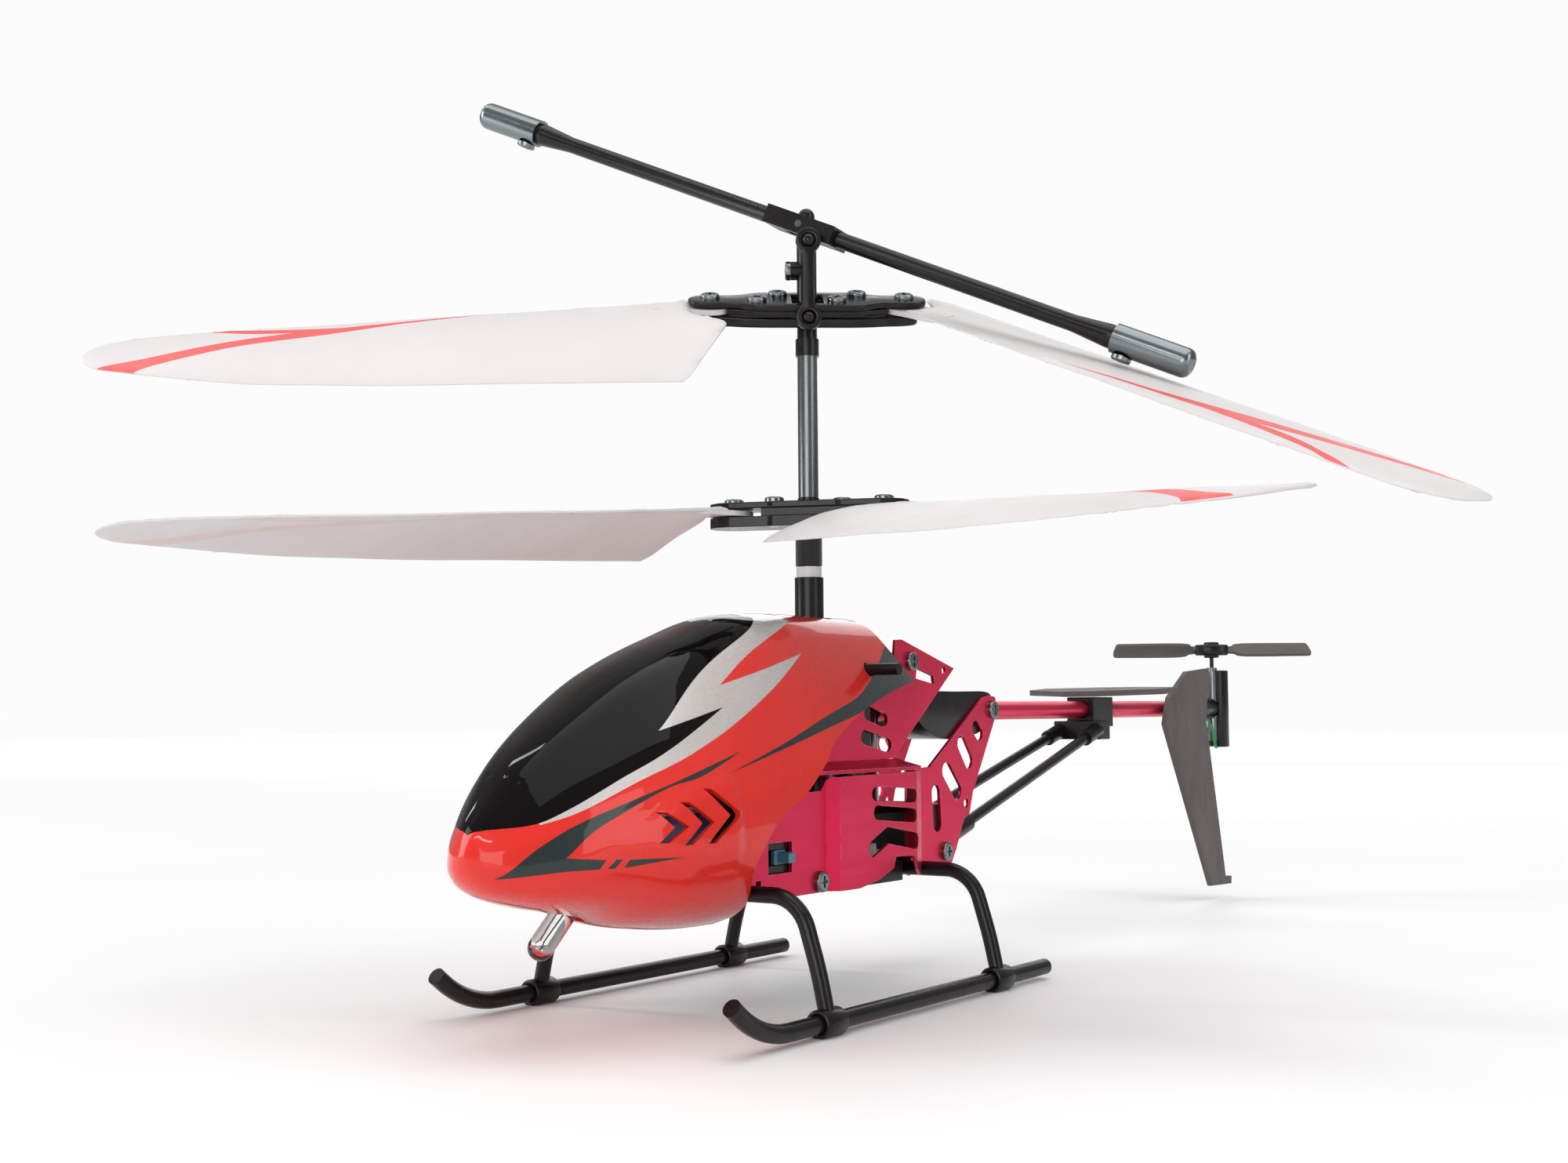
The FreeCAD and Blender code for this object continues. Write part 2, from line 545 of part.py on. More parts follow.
# ---------------------------------------------------------------- rotor grips
def grip_outline(half, waist, end_radius, pivot):
    """A long plate seen from above: wide middle, narrower rounded ends."""
    corners = [(waist, waist * 0.75), (pivot - 5.5, end_radius), (pivot, end_radius)]
    points = [V(half, 0, 0)]
    points += [V(pivot + (half - pivot) * math.cos(a), end_radius * math.sin(a), 0)
               for a in (math.pi / 6, math.pi / 3)]
    points += [V(x, y, 0) for x, y in reversed(corners)]
    mirrored = [V(-p.x, p.y, 0) for p in reversed(points)]
    upper = points + mirrored
    lower = [V(-p.x, -p.y, 0) for p in upper[1:-1]]
    return Part.Face(Part.makePolygon(upper + lower + upper[:1]))


def plate_layer(half, waist, end_radius, pivot, low, high):
    return grip_outline(half, waist, end_radius, pivot).extrude(V(0, 0, high - low)).translated(V(0, 0, low))


BLADE_GAP = 0.55
SCREW_SPOTS = {"lower": [1.0, 0.42], "upper": [1.0, 0.52, 0.3]}


def grip_base(kind, opening=0.0):
    """Lower jaw and middle block in one piece; the blade roots lie in its two open ends."""
    half, pivot = dim(f"{kind}_hub_half"), dim(f"{kind}_pivot_radius")
    jaw = plate_layer(half, 4.4, 3.0, pivot, -2.0, -BLADE_GAP)
    block_reach = pivot - 4.6
    block = Part.makeBox(2 * block_reach, 6.2, BLADE_GAP * 2, V(-block_reach, -3.1, -BLADE_GAP))
    body = jaw.fuse(block).removeSplitter()
    body = body.cut(screw_shanks(kind, 0.72, -3, 6))
    if opening:
        body = body.cut(Part.makeBox(4.4, opening * 2, 8, V(-2.2, -opening, -4)))
    return body


def grip_plate(kind, opening=0.0):
    half, pivot = dim(f"{kind}_hub_half"), dim(f"{kind}_pivot_radius")
    plate = plate_layer(half, 4.4, 3.1, pivot, BLADE_GAP, BLADE_GAP + 0.9)
    plate = plate.cut(screw_shanks(kind, 0.72, -3, 6))
    if opening:
        plate = plate.cut(Part.makeBox(4.4, opening * 2, 8, V(-2.2, -opening, -4)))
    return plate


def screw_places(kind):
    pivot = dim(f"{kind}_pivot_radius")
    spots = []
    for side in (-1, 1):
        for index, share in enumerate(SCREW_SPOTS[kind]):
            offset_y = 0 if index == 0 else (1.7 if index % 2 else -1.7)
            spots.append(V(side * pivot * share, side * offset_y, 0))
    return spots


def screw_shanks(kind, radius, low, height):
    bars = [Part.makeCylinder(radius, height, p + V(0, 0, low)) for p in screw_places(kind)]
    return Part.makeCompound(bars)


def cross_head_screw(top, shank_length):
    """A pan-head screw with a cross recess; its seat is at z = 0 and its head above."""
    radius, height = dim("screw_head_radius"), dim("screw_head_height")
    head = Part.makeCylinder(radius, height)
    head = head.makeFillet(0.3, [e for e in head.Edges if e.CenterOfMass.z > height - 0.01])
    recess = Part.makeBox(1.5, 0.35, 1, V(-0.75, -0.175, height - 0.35))
    recess = recess.fuse(Part.makeBox(0.35, 1.5, 1, V(-0.175, -0.75, height - 0.35)))
    return head.cut(recess).fuse(Part.makeCylinder(top, shank_length, V(0, 0, -shank_length)))


def grip_screws(kind):
    screws = []
    for number, spot in enumerate(screw_places(kind)):
        screw = cross_head_screw(0.7, 3.45)
        turn = FreeCAD.Rotation(V(0, 0, 1), 31 * number)
        screw.Placement = FreeCAD.Placement(spot + V(0, 0, BLADE_GAP + 0.9), turn)
        screws.append(screw)
    return Part.makeCompound(screws)


# ---------------------------------------------------------------- rotor blades
def blade_shape(turning):
    """One cambered blade; s runs outboard from the pivot, trailing edge towards +Y times turning."""
    length, chord, thickness = dim("blade_length"), dim("blade_chord"), dim("blade_thick")
    outline = [(3.2, -2.2), (length - 12, -2.2), (length - 3, -0.6), (length, 3.2), (length - 1, 7.4),
               (length - 6, 9.6), (length * 0.72, 15), (length * 0.42, chord - 2.2), (2.4, chord + 0.4),
               (0.6, 14), (0.4, 8), (3.2, 3.2)]
    tail = [V(s, t, 0) for s, t in outline]
    planform = Part.Face(Part.makePolygon(tail + tail[:1])).extrude(V(0, 0, 16)).translated(V(0, 0, -8))
    camber = 1.5
    front, back = V(0, -2.6, 0), V(0, chord + 1, 0)
    middle = V(0, chord * 0.4, camber)
    up = V(0, 0, thickness)
    section = Part.Wire([Part.Arc(front, middle, back).toShape(),
                         Part.LineSegment(back, back + up * 0.5).toShape(),
                         Part.Arc(back + up * 0.5, middle + up, front + up * 0.7).toShape(),
                         Part.LineSegment(front + up * 0.7, front).toShape()])
    skin = Part.Face(section).extrude(V(length + 2, 0, 0)).translated(V(0, 0, -thickness / 2))
    skin = skin.common(planform)
    pitch, droop = -15.0, 4.5
    skin.rotate(V(0, 0, 0), V(1, 0, 0), pitch)
    skin.rotate(V(0, 0, 0), V(0, 1, 0), droop)
    tab_half = BLADE_GAP - 0.1
    tab = Part.makeCylinder(2.7, 2 * tab_half, V(0, 0, -tab_half))
    arm = Part.makeBox(6.5, 4.2, 2 * tab_half, V(0, -2.1, -tab_half))
    blade = skin.fuse([tab, arm]).cut(Part.makeCylinder(0.75, 6, V(0, 0, -3))).removeSplitter()
    if turning < 0:
        blade = blade.mirror(V(0, 0, 0), V(0, 1, 0))
    return blade


def rotor_frame(height, azimuth, tilt=0.0):
    spin = FreeCAD.Rotation(V(0, 0, 1), azimuth)
    lean = FreeCAD.Rotation(V(1, 0, 0), tilt)
    return FreeCAD.Placement(V(0, 0, height), spin.multiply(lean))


def blade_place(frame, pivot, opposite, lag):
    side = FreeCAD.Placement(V(), FreeCAD.Rotation(V(0, 0, 1), 180 if opposite else 0))
    swing = FreeCAD.Placement(V(pivot, 0, 0), FreeCAD.Rotation(V(0, 0, 1), lag))
    return frame.multiply(side).multiply(swing)


LOWER_AZIMUTH, UPPER_AZIMUTH, HEAD_TILT = 22.0, 37.0, 25.0
lower_frame = rotor_frame(hub_z, LOWER_AZIMUTH)
upper_frame = rotor_frame(dim("upper_hub_z"), UPPER_AZIMUTH, HEAD_TILT)

lower_grip = grip_base("lower").fuse(Part.makeCylinder(1.85, hub_low - 43.3, V(0, 0, 43.3 - hub_z)))
lower_grip = lower_grip.cut(Part.makeCylinder(dim("tube_radius"), 30, V(0, 0, -20)))
keep(feature("LowerGrip", lower_grip.removeSplitter()), "lower_grip", lower_frame)
lower_cap = grip_plate("lower").cut(Part.makeCylinder(dim("tube_radius"), 30, V(0, 0, -20)))
keep(feature("LowerGripPlate", lower_cap), "lower_grip_plate", lower_frame)
keep(feature("LowerGripScrews", grip_screws("lower")), "lower_grip_screws", lower_frame)
for label, opposite, lag in (("lower_blade_right", False, -51.0), ("lower_blade_left", True, 53.0)):
    keep(feature(label.title().replace("_", ""), blade_shape(-1)), label,
         blade_place(lower_frame, dim("lower_pivot_radius"), opposite, lag))

HEAD_OPENING = 2.75
PIN_RADIUS = 0.5
ball_y = 5.4
ball = Part.makeSphere(0.9, V(0, -ball_y, 0)).fuse(Part.makeCylinder(0.45, 2.2, V(0, -3.2, 0), V(0, -1, 0)))
head_block = grip_base("upper", HEAD_OPENING).fuse([ball, Part.makeBox(2.4, 0.9, 1.6, V(-1.2, -3.6, -1.4))])
head_block = head_block.cut(Part.makeCylinder(PIN_RADIUS, 9.2, V(-4.6, 0, 0), V(1, 0, 0)))
keep(feature("UpperGrip", head_block.removeSplitter()), "upper_grip", upper_frame)
keep(feature("UpperGripPlate", grip_plate("upper", HEAD_OPENING)), "upper_grip_plate", upper_frame)
keep(feature("UpperGripScrews", grip_screws("upper")), "upper_grip_screws", upper_frame)
for label, opposite, lag in (("upper_blade_right", False, -51.0), ("upper_blade_left", True, -3.0)):
    keep(feature(label.title().replace("_", ""), blade_shape(1)), label,
         blade_place(upper_frame, dim("upper_pivot_radius"), opposite, lag))

# ---------------------------------------------------------------- rotor head, flybar and link
upper_z, flybar_z = dim("upper_hub_z"), dim("flybar_z")
FLYBAR_AZIMUTH, FLYBAR_TILT = 10.5, 24.1
head_level = rotor_frame(upper_z, UPPER_AZIMUTH)
flybar_level = rotor_frame(flybar_z, FLYBAR_AZIMUTH)
flybar_frame = flybar_level.multiply(FreeCAD.Placement(V(), FreeCAD.Rotation(V(0, 1, 0), FLYBAR_TILT)))


def across(frame, shape):
    """A shape made in a frame's own axes, moved into the helicopter's."""
    moved = shape.copy()
    moved.Placement = frame.multiply(moved.Placement)
    return moved


post = Part.makeCylinder(1.65, 2.4, V(0, 0, upper_z - 6.8))
post = post.fuse([Part.makeCylinder(1.4, 13.5, V(0, 0, upper_z - 4.5)),
                  Part.makeCylinder(1.2, flybar_z + 1.6 - upper_z - 9, V(0, 0, upper_z + 9)),
                  Part.makeSphere(1.2, V(0, 0, flybar_z + 1.6))])
CLAMP_HEIGHT = 5.4
post = post.fuse(across(head_level, Part.makeCylinder(1.3, 2.3, V(0, 0, CLAMP_HEIGHT), V(-1, 0, 0))))
post = post.cut(Part.makeCylinder(dim("shaft_radius"), 5.6, V(0, 0, upper_z - 6.8)))
post = post.cut(across(head_level, Part.makeCylinder(PIN_RADIUS + 0.05, 10, V(-5, 0, 0), V(1, 0, 0))))
post = post.cut(across(flybar_level, Part.makeCylinder(0.55, 10, V(0, -5, 0), V(0, 1, 0))))
post = post.cut(across(head_level, Part.makeCylinder(0.7, 3, V(-4, 0, CLAMP_HEIGHT), V(1, 0, 0))))
keep(feature("HeadPost", post.removeSplitter()), "head_post")
clamp_screw = cross_head_screw(0.7, 1.2)
clamp_screw.Placement = facing(V(-2.35, 0, CLAMP_HEIGHT), V(-1, 0, 0))
keep(feature("ClampScrew", across(head_level, clamp_screw)), "head_clamp_screw")

head_pin = Part.makeCylinder(PIN_RADIUS, 9.2, V(-4.6, 0, 0), V(1, 0, 0))
keep(feature("HeadPin", head_pin), "head_pivot_pin", upper_frame)

EYE_RADIUS, EYE_HALF, LINK_RISE = 1.6, 0.55, 10.8
eye = Part.makeCylinder(EYE_RADIUS, EYE_HALF * 2, V(0, EYE_HALF, 0), V(0, -1, 0))
bar = Part.makeCylinder(0.85, LINK_RISE - 2.4, V(0, 0, 1.2))
link = bar.fuse([eye, eye.translated(V(0, 0, LINK_RISE))]).cut(
    Part.makeCylinder(1.0, 6, V(0, 3, 0), V(0, -1, 0)))
link = link.fuse(Part.makeCylinder(0.75, 0.35, V(0, -EYE_HALF, LINK_RISE), V(0, -1, 0)))
anchor = upper_frame.multVec(V(0, -ball_y, 0))
keep(feature("LinkRod", link.removeSplitter()), "link_rod",
     FreeCAD.Placement(anchor, FreeCAD.Rotation(V(0, 0, 1), UPPER_AZIMUTH)))

rod_end = dim("flybar_half") - 11
hub = Part.makeBox(11, 6, 2.6, V(-5.5, -3, -1.3)).cut(Part.makeBox(5.4, 2.8, 4, V(-2.7, -1.4, -2)))
flybar = hub
for side in (-1, 1):
    flybar = flybar.fuse([
        Part.makeCylinder(dim("flybar_radius"), rod_end - 8, V(side * 5, 0, 0), V(side, 0, 0)),
        Part.makeCone(dim("flybar_radius"), 1.6, 5, V(side * (rod_end - 6), 0, 0), V(side, 0, 0)),
        Part.makeCylinder(1.6, 1, V(side * (rod_end - 1), 0, 0), V(side, 0, 0))])
flybar = flybar.cut(Part.makeCylinder(0.5, 10, V(0, -5, 0), V(0, 1, 0))).removeSplitter()
keep(feature("FlybarRod", flybar), "flybar_rod", flybar_frame)
keep(feature("FlybarPin", rod(0.5, 6, V(0, -3, 0), V(0, 1, 0))), "flybar_pivot_pin", flybar_frame)
weights, weight_screws = [], []
for side in (-1, 1):
    weight = Part.makeCylinder(2.0, 11, V(side * rod_end, 0, 0), V(side, 0, 0))
    weight = weight.makeFillet(1.2, [e for e in weight.Edges if abs(e.CenterOfMass.x) > rod_end + 10.9])
    weights.append(weight.cut(Part.makeCylinder(0.7, 3, V(side * (rod_end + 1.8), 0, -3))))
    screw = cross_head_screw(0.7, 1.0)
    screw.Placement = facing(V(side * (rod_end + 1.8), 0, -2.0), V(0, 0, -1))
    weight_screws.append(screw)
keep(feature("FlybarWeights", Part.makeCompound(weights + weight_screws)), "flybar_weights", flybar_frame)

# ---------------------------------------------------------------- boom and tail
boom_z, boom_back = dim("boom_z"), dim("boom_back")
mount_block = doc.addObject("Part::Box", "BoomMountBlock")
bind(mount_block, Length="<upper_plate_x> * 2 - 0.1", Width="26", Height="7")
mount_block.Placement.Base = V(-upper_x + 0.05, 15, 19)
screw_bore = cylinder("BoomScrewBore", str(SCREW_BORE), "30", V(-15, *BOOM_SCREW), V(1, 0, 0))
boom_seat = cylinder("BoomSeat", "<boom_radius>", "40", V(0, dim("boom_front"), boom_z), V(0, 1, 0))
corner_cut = feature("MountCorner", prism_x([(14, 18), (24, 18), (14, 24)], -20, 20).fuse(
    prism_x([(30, 18), (42, 18), (42, 21.5), (36, 19.6)], -20, 20)))
keep(cut("BoomMount", mount_block, screw_bore, boom_seat, corner_cut), "boom_mount")
boom = cut("TailBoom", cylinder("BoomBar", "<boom_radius>", "<boom_back> - <boom_front>",
                                V(0, dim("boom_front"), boom_z), V(0, 1, 0)),
           cylinder("BoomBore", "<boom_radius> - 0.35", "200", V(0, 0, boom_z), V(0, 1, 0)),
           cylinder("BoomScrewSlot", "0.75", "30", V(-15, *BOOM_SCREW), V(1, 0, 0)))
keep(boom, "tail_boom")

rear_block_shape = prism_x([(22, 1.2), (27.2, 1.2), (30, 5.4), (30, 7.6), (24, 9.6), (19, 9.6), (19, 3)],
                           -upper_x + 0.05, upper_x - 0.05)
rear_block_shape = rear_block_shape.cut(Part.makeCylinder(SCREW_BORE, 30, V(-15, *REAR_SCREW), V(1, 0, 0)))
keep(feature("RearSpacer", rear_block_shape), "rear_spacer_block")

clamp_shape = Part.makeBox(5.2, 8, 5.2, V(-2.6, 85, boom_z - 3)).fuse(
    Part.makeBox(9, 4, 3.2, V(-4.5, 83.5, boom_z - 5.2)))
clamp_shape = clamp_shape.cut(Part.makeCylinder(dim("boom_radius"), 60, V(0, 60, boom_z), V(0, 1, 0)))
keep(feature("StabilizerClamp", clamp_shape), "stabilizer_clamp")
stabilizer = new_body("Stabilizer")
planform = sketch_on(stabilizer, "XY_Plane", "StabilizerPlanform")
draw_polygon(planform, [(-3, 0), (-13, 6.5), (-13, 13), (-4, 15.5), (4, 15.5), (13, 13), (13, 6.5), (3, 0)])
for spot in ((-2.2, 7), (2.2, 7), (0, 12)):
    draw_circle(planform, spot, 0.6)
pad(stabilizer, planform, "StabilizerPad", "1")
keep(stabilizer, "horizontal_stabilizer",
     FreeCAD.Placement(V(0, 84.5, boom_z + 2.25), FreeCAD.Rotation(V(1, 0, 0), 3)))

struts = []
for side in (1, -1):
    start, end = V(side * 4.9, 29.4, 4.6), V(side * 3.4, 84.5, 19.6)
    along = (end - start).normalize()
    length = (end - start).Length
    strut = Part.makeCylinder(0.85, length, start, along)
    strut = strut.fuse([Part.makeCylinder(1.4, 6, start, along),
                        Part.makeCylinder(1.3, 5.5, end - along * 5.5, along)])
    struts.append(strut.cut(rear_block_shape).cut(clamp_shape))
keep(feature("TailStruts", Part.makeCompound(struts)), "tail_struts")

tail_y, tail_z = dim("tail_rotor_y"), dim("tail_rotor_z")
motor_r = dim("tail_motor_radius")
holder = Part.makeCylinder(2.2, 12.5, V(0, 131.5, boom_z), V(0, 1, 0)).fuse([
    Part.makeCylinder(motor_r + 0.9, 15.6, V(0, tail_y, 15.3)),
    Part.makeBox(5, 3.6, 15.6, V(-2.5, tail_y + 0.8, 15.3))])
holder = holder.cut(Part.makeCylinder(dim("boom_radius"), boom_back - 120, V(0, 120, boom_z), V(0, 1, 0)))
holder = holder.cut(Part.makeCylinder(motor_r, 30, V(0, tail_y, 10)))
for low, high in ((10, 19.5), (26.5, 40)):
    holder = holder.cut(Part.makeBox(12, 12, high - low, V(-6, tail_y - 12.4, low)))
can = cylinder("TailCan", "<tail_motor_radius>", "14", V(0, tail_y, 16.6))
boss = cylinder("TailMotorBoss", "1", "0.8", V(0, tail_y, 30.6))
keep(cut("TailMotor", fuse("TailMotorSolid", can, boss),
         cylinder("TailShaftBore", "0.45", "8", V(0, tail_y, 27))), "tail_motor")
wires = []
for side in (-1, 1):
    route = [V(side * 0.5, 137, boom_z), V(side * 0.5, 140, boom_z - 0.2), V(side * 1.6, 142.6, 18.4),
             V(side * 1.4, 143.6, 15.6), V(side * 0.9, tail_y - 0.6, 15.2), V(side * 0.8, tail_y, 16.5)]
    wires.append(tube_along(route, 0.3, 0.4))
wire_pair = Part.makeCompound(wires)
keep(feature("TailMotorHolder", holder.removeSplitter().cut(wire_pair)), "tail_motor_holder")
keep(feature("TailWires", wire_pair), "tail_motor_wires")

fin_body = new_body("Fin")
fin_sketch = sketch_on(fin_body, "YZ_Plane", "FinOutline", 2.2)
draw_polygon(fin_sketch, [(126, 30.3), (137, 31.1), (135, 20.7), (143.3, -10.3), (146.4, -10.5), (146.2, -12),
                          (135.8, -11.7), (115, 20.2), (117.2, 25.3)])
pad(fin_body, fin_sketch, "FinPad", "1")
keep(fin_body, "vertical_fin")

TAIL_AZIMUTH = 30.0
shaft = Part.makeCylinder(0.4, 8.6, V(0, 0, -7.4))
tail_hub = Part.makeCylinder(1.5, 3.2, V(0, 0, -1.6)).fuse(
    Part.makeBox(6.4, 2.4, 2.2, V(-3.2, -1.2, -1.1)))
reach = dim("tail_rotor_radius")
vane = Part.makeBox(reach - 3, 3.6, 0.6, V(3, -1.8, -0.3))
vane = vane.makeFillet(0.8, [e for e in vane.Edges if e.CenterOfMass.x > reach - 0.1 and e.Length < 0.7])
vane.rotate(V(0, 0, 0), V(1, 0, 0), 28)
other = vane.copy()
other.rotate(V(0, 0, 0), V(0, 0, 1), 180)
tail_rotor = tail_hub.fuse([vane, other]).cut(Part.makeCylinder(0.4, 2.9, V(0, 0, -1.7)))
tail_frame = rotor_frame(tail_z, TAIL_AZIMUTH)
tail_frame.Base.y = tail_y
keep(feature("TailRotor", tail_rotor.removeSplitter()), "tail_rotor", tail_frame)
keep(feature("TailShaft", shaft), "tail_rotor_shaft", tail_frame)

# ---------------------------------------------------------------- landing gear
skid_x, skid_z = dim("skid_spacing") / 2, -dim("skid_drop")
collars, skids = [], []
legs = {"front": [], "rear": []}
for side in (1, -1):
    route = [V(side * skid_x, -48.9, skid_z + 4.2), V(side * skid_x, -43.5, skid_z),
             V(side * skid_x, 25.4, skid_z)]
    tube = tube_along(route, dim("skid_radius"), 0.8)
    skids.append(tube)
    for name, y in (("front", dim("front_leg_y")), ("rear", dim("rear_leg_y"))):
        length = dim("collar_length")
        start = V(side * skid_x, y - length / 2, skid_z)
        collar = rod(dim("collar_radius"), length, start, V(0, 1, 0))
        leg_height = dim("leg_height")
        leg = tube_along([V(side * 6, y, leg_height), V(side * 18.6, y, leg_height),
                          V(side * 21.4, y, -7.5), V(side * skid_x, y, skid_z + 0.6)],
                          dim("leg_radius"), 0.42)
        legs[name].append(leg.cut(collar))
        collar = collar.cut(rod(dim("skid_radius"), 10, V(side * skid_x, y - 5, skid_z), V(0, 1, 0)))
        foot = Part.makeBox(6, 10, 1, V(side * skid_x - 3, y - 5, skid_z - dim("collar_radius") + 0.1 - 1))
        collars.append(collar.cut(foot))
keep(feature("SkidTubes", Part.makeCompound(skids)), "skid_tubes")
keep(feature("SkidCollars", Part.makeCompound(collars)), "skid_collars")
for name, pair in legs.items():
    keep(feature(f"{name.title()}Legs", Part.makeCompound(pair)), f"{name}_legs")

# ---------------------------------------------------------------- frame screws
standoff_bar = cylinder("StandoffBar", "1.3", "<upper_plate_x> * 2", V(-upper_x, *UPPER_SCREW), V(1, 0, 0))
standoff = cut("UpperStandoff", standoff_bar,
               cylinder("StandoffBore", str(SCREW_BORE), "30", V(-15, *UPPER_SCREW), V(1, 0, 0)))
keep(standoff, "upper_standoff")
frame_screws = []
screw_seats = ((FRONT_SCREW, lower_x), (REAR_SCREW, upper_x), (BOOM_SCREW, upper_x), (UPPER_SCREW, upper_x))
for (y, z), x in screw_seats:
    for side in (-1, 1):
        screw = cross_head_screw(SCREW_BORE, 3.5)
        screw.Placement = facing(V(side * (x + thick), y, z), V(side, 0, 0))
        frame_screws.append(screw)
keep(feature("FrameScrews", Part.makeCompound(frame_screws)), "frame_screws")


# ---------------------------------------------------------------- check and write
doc.recompute()
for obj in doc.Objects:
    if "Invalid" in obj.State or "Error" in obj.State:
        raise ValueError(f"{obj.Name} failed: {obj.State}")
os.makedirs("parts", exist_ok=True)
for obj in PARTS:
    if obj.Shape.isNull() or not obj.Shape.isValid() or not obj.Shape.Solids:
        raise ValueError(f"{obj.Label} has no valid solid")
    obj.Shape.exportStep(f"parts/{obj.Label}.step")
    box = obj.Shape.BoundBox
    print(f"{obj.Label:24s} {len(obj.Shape.Solids)} solids {obj.Shape.Volume:9.2f} mm3 "
          f"x {box.XMin:.1f}..{box.XMax:.1f} y {box.YMin:.1f}..{box.YMax:.1f} z {box.ZMin:.1f}..{box.ZMax:.1f}")
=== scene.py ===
"""Looks of a palm-sized coaxial-rotor model helicopter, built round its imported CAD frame.

Lengths are in mm unless said.
"""

import math

import bmesh
import bpy
import numpy as np
from mathutils import Matrix, Vector, geometry, kdtree


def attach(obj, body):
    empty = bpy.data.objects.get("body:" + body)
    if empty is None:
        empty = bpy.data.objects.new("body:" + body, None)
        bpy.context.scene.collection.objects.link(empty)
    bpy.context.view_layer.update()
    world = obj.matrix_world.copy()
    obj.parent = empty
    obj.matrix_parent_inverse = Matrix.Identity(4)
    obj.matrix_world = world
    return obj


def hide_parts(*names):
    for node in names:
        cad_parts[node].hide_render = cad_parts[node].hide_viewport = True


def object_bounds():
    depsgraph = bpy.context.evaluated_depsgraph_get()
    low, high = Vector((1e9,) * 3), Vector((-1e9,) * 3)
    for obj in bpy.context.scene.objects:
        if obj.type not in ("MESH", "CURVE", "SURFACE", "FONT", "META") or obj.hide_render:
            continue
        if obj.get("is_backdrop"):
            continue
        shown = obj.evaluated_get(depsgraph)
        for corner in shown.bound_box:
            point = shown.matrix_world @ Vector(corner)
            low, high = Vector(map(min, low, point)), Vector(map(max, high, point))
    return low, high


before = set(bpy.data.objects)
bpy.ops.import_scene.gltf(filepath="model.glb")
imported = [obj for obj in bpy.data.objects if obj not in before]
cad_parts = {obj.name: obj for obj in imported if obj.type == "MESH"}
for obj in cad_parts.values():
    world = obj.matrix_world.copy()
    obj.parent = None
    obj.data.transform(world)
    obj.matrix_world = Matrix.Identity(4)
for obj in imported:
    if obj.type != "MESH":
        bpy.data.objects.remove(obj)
CAD_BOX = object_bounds()
MM = 0.001
GROUND = -14.6

# ---------------------------------------------------------------- camera and light
CAMERA_PLACE = Vector((142.67, -210.77, 23.38)) * MM
CAMERA_TURN, CAMERA_CLIMB, CAMERA_ROLL = (math.radians(a) for a in (34.88, 4.01, -0.39))


def camera_matrix():
    turn, climb, roll = CAMERA_TURN, CAMERA_CLIMB, CAMERA_ROLL
    across = Vector((math.cos(turn), math.sin(turn), 0))
    forward = Vector((-math.sin(turn) * math.cos(climb), math.cos(turn) * math.cos(climb), math.sin(climb)))
    upward = across.cross(forward)
    right = across * math.cos(roll) + upward * math.sin(roll)
    up = upward * math.cos(roll) - across * math.sin(roll)
    columns = Matrix((right, up, -forward)).transposed()
    return Matrix.Translation(CAMERA_PLACE) @ columns.to_4x4()


camera = bpy.data.objects.new("camera", bpy.data.cameras.new("camera"))
camera.data.lens = 42.1
camera.data.sensor_width = 36
camera.data.clip_start, camera.data.clip_end = 0.01, 10
camera.matrix_world = camera_matrix()
bpy.context.scene.collection.objects.link(camera)
bpy.context.scene.camera = camera


def area_light(name, place, aim, size, power, colour=(1, 1, 1)):
    data = bpy.data.lights.new(name, "AREA")
    data.shape, data.size, data.size_y = "RECTANGLE", size[0], size[1]
    data.energy, data.color = power, colour
    lamp = bpy.data.objects.new(name, data)
    lamp.location = place
    lamp.rotation_euler = (Vector(aim) - Vector(place)).to_track_quat("-Z", "Y").to_euler()
    bpy.context.scene.collection.objects.link(lamp)


# name, place and aim in metres, width and height in metres, watts
area_light("overhead_softbox", (0.15, 0.0, 0.75), (0, 0.02, 0), (0.8, 0.8), 3.4)
area_light("left_softbox", (-0.6, -0.5, 0.25), (0, 0, 0.02), (0.3, 0.5), 2.2)
area_light("front_softbox", (0.25, -0.8, 0.15), (0, 0, 0.02), (0.5, 0.3), 1.6)
area_light("right_softbox", (0.8, 0.0, 0.3), (0, 0.02, 0.02), (0.3, 0.6), 1.4)
area_light("rear_softbox", (-0.3, 0.8, 0.4), (0, 0, 0.03), (0.7, 0.4), 1.2)
area_light("tall_strip", (-0.42, -0.1, 0.5), (0, -0.03, 0.02), (0.03, 0.5), 0.7)
area_light("low_strip", (0.0, -0.7, 0.42), (0, -0.03, 0.02), (0.5, 0.025), 0.6)
world = bpy.data.worlds.new("studio")
world.use_nodes = True
sky = world.node_tree
backdrop = sky.nodes["Background"]
backdrop.inputs["Color"].default_value = (1, 1, 1, 1)
direction = sky.nodes.new("ShaderNodeSeparateXYZ")
climb = sky.nodes.new("ShaderNodeMapRange")
seen = sky.nodes.new("ShaderNodeLightPath")
blend = sky.nodes.new("ShaderNodeMix")
sky.links.new(sky.nodes.new("ShaderNodeTexCoord").outputs["Generated"], direction.inputs[0])
sky.links.new(direction.outputs["Z"], climb.inputs["Value"])
for socket, value in (("From Min", -0.05), ("From Max", 0.9), ("To Min", 0.22), ("To Max", 0.5)):
    climb.inputs[socket].default_value = value
sky.links.new(seen.outputs["Is Camera Ray"], blend.inputs["Factor"])
sky.links.new(climb.outputs[0], blend.inputs["A"])
blend.inputs["B"].default_value = 0.97
sky.links.new(blend.outputs["Result"], backdrop.inputs["Strength"])
bpy.context.scene.world = world
bpy.context.scene.view_settings.view_transform = "Standard"

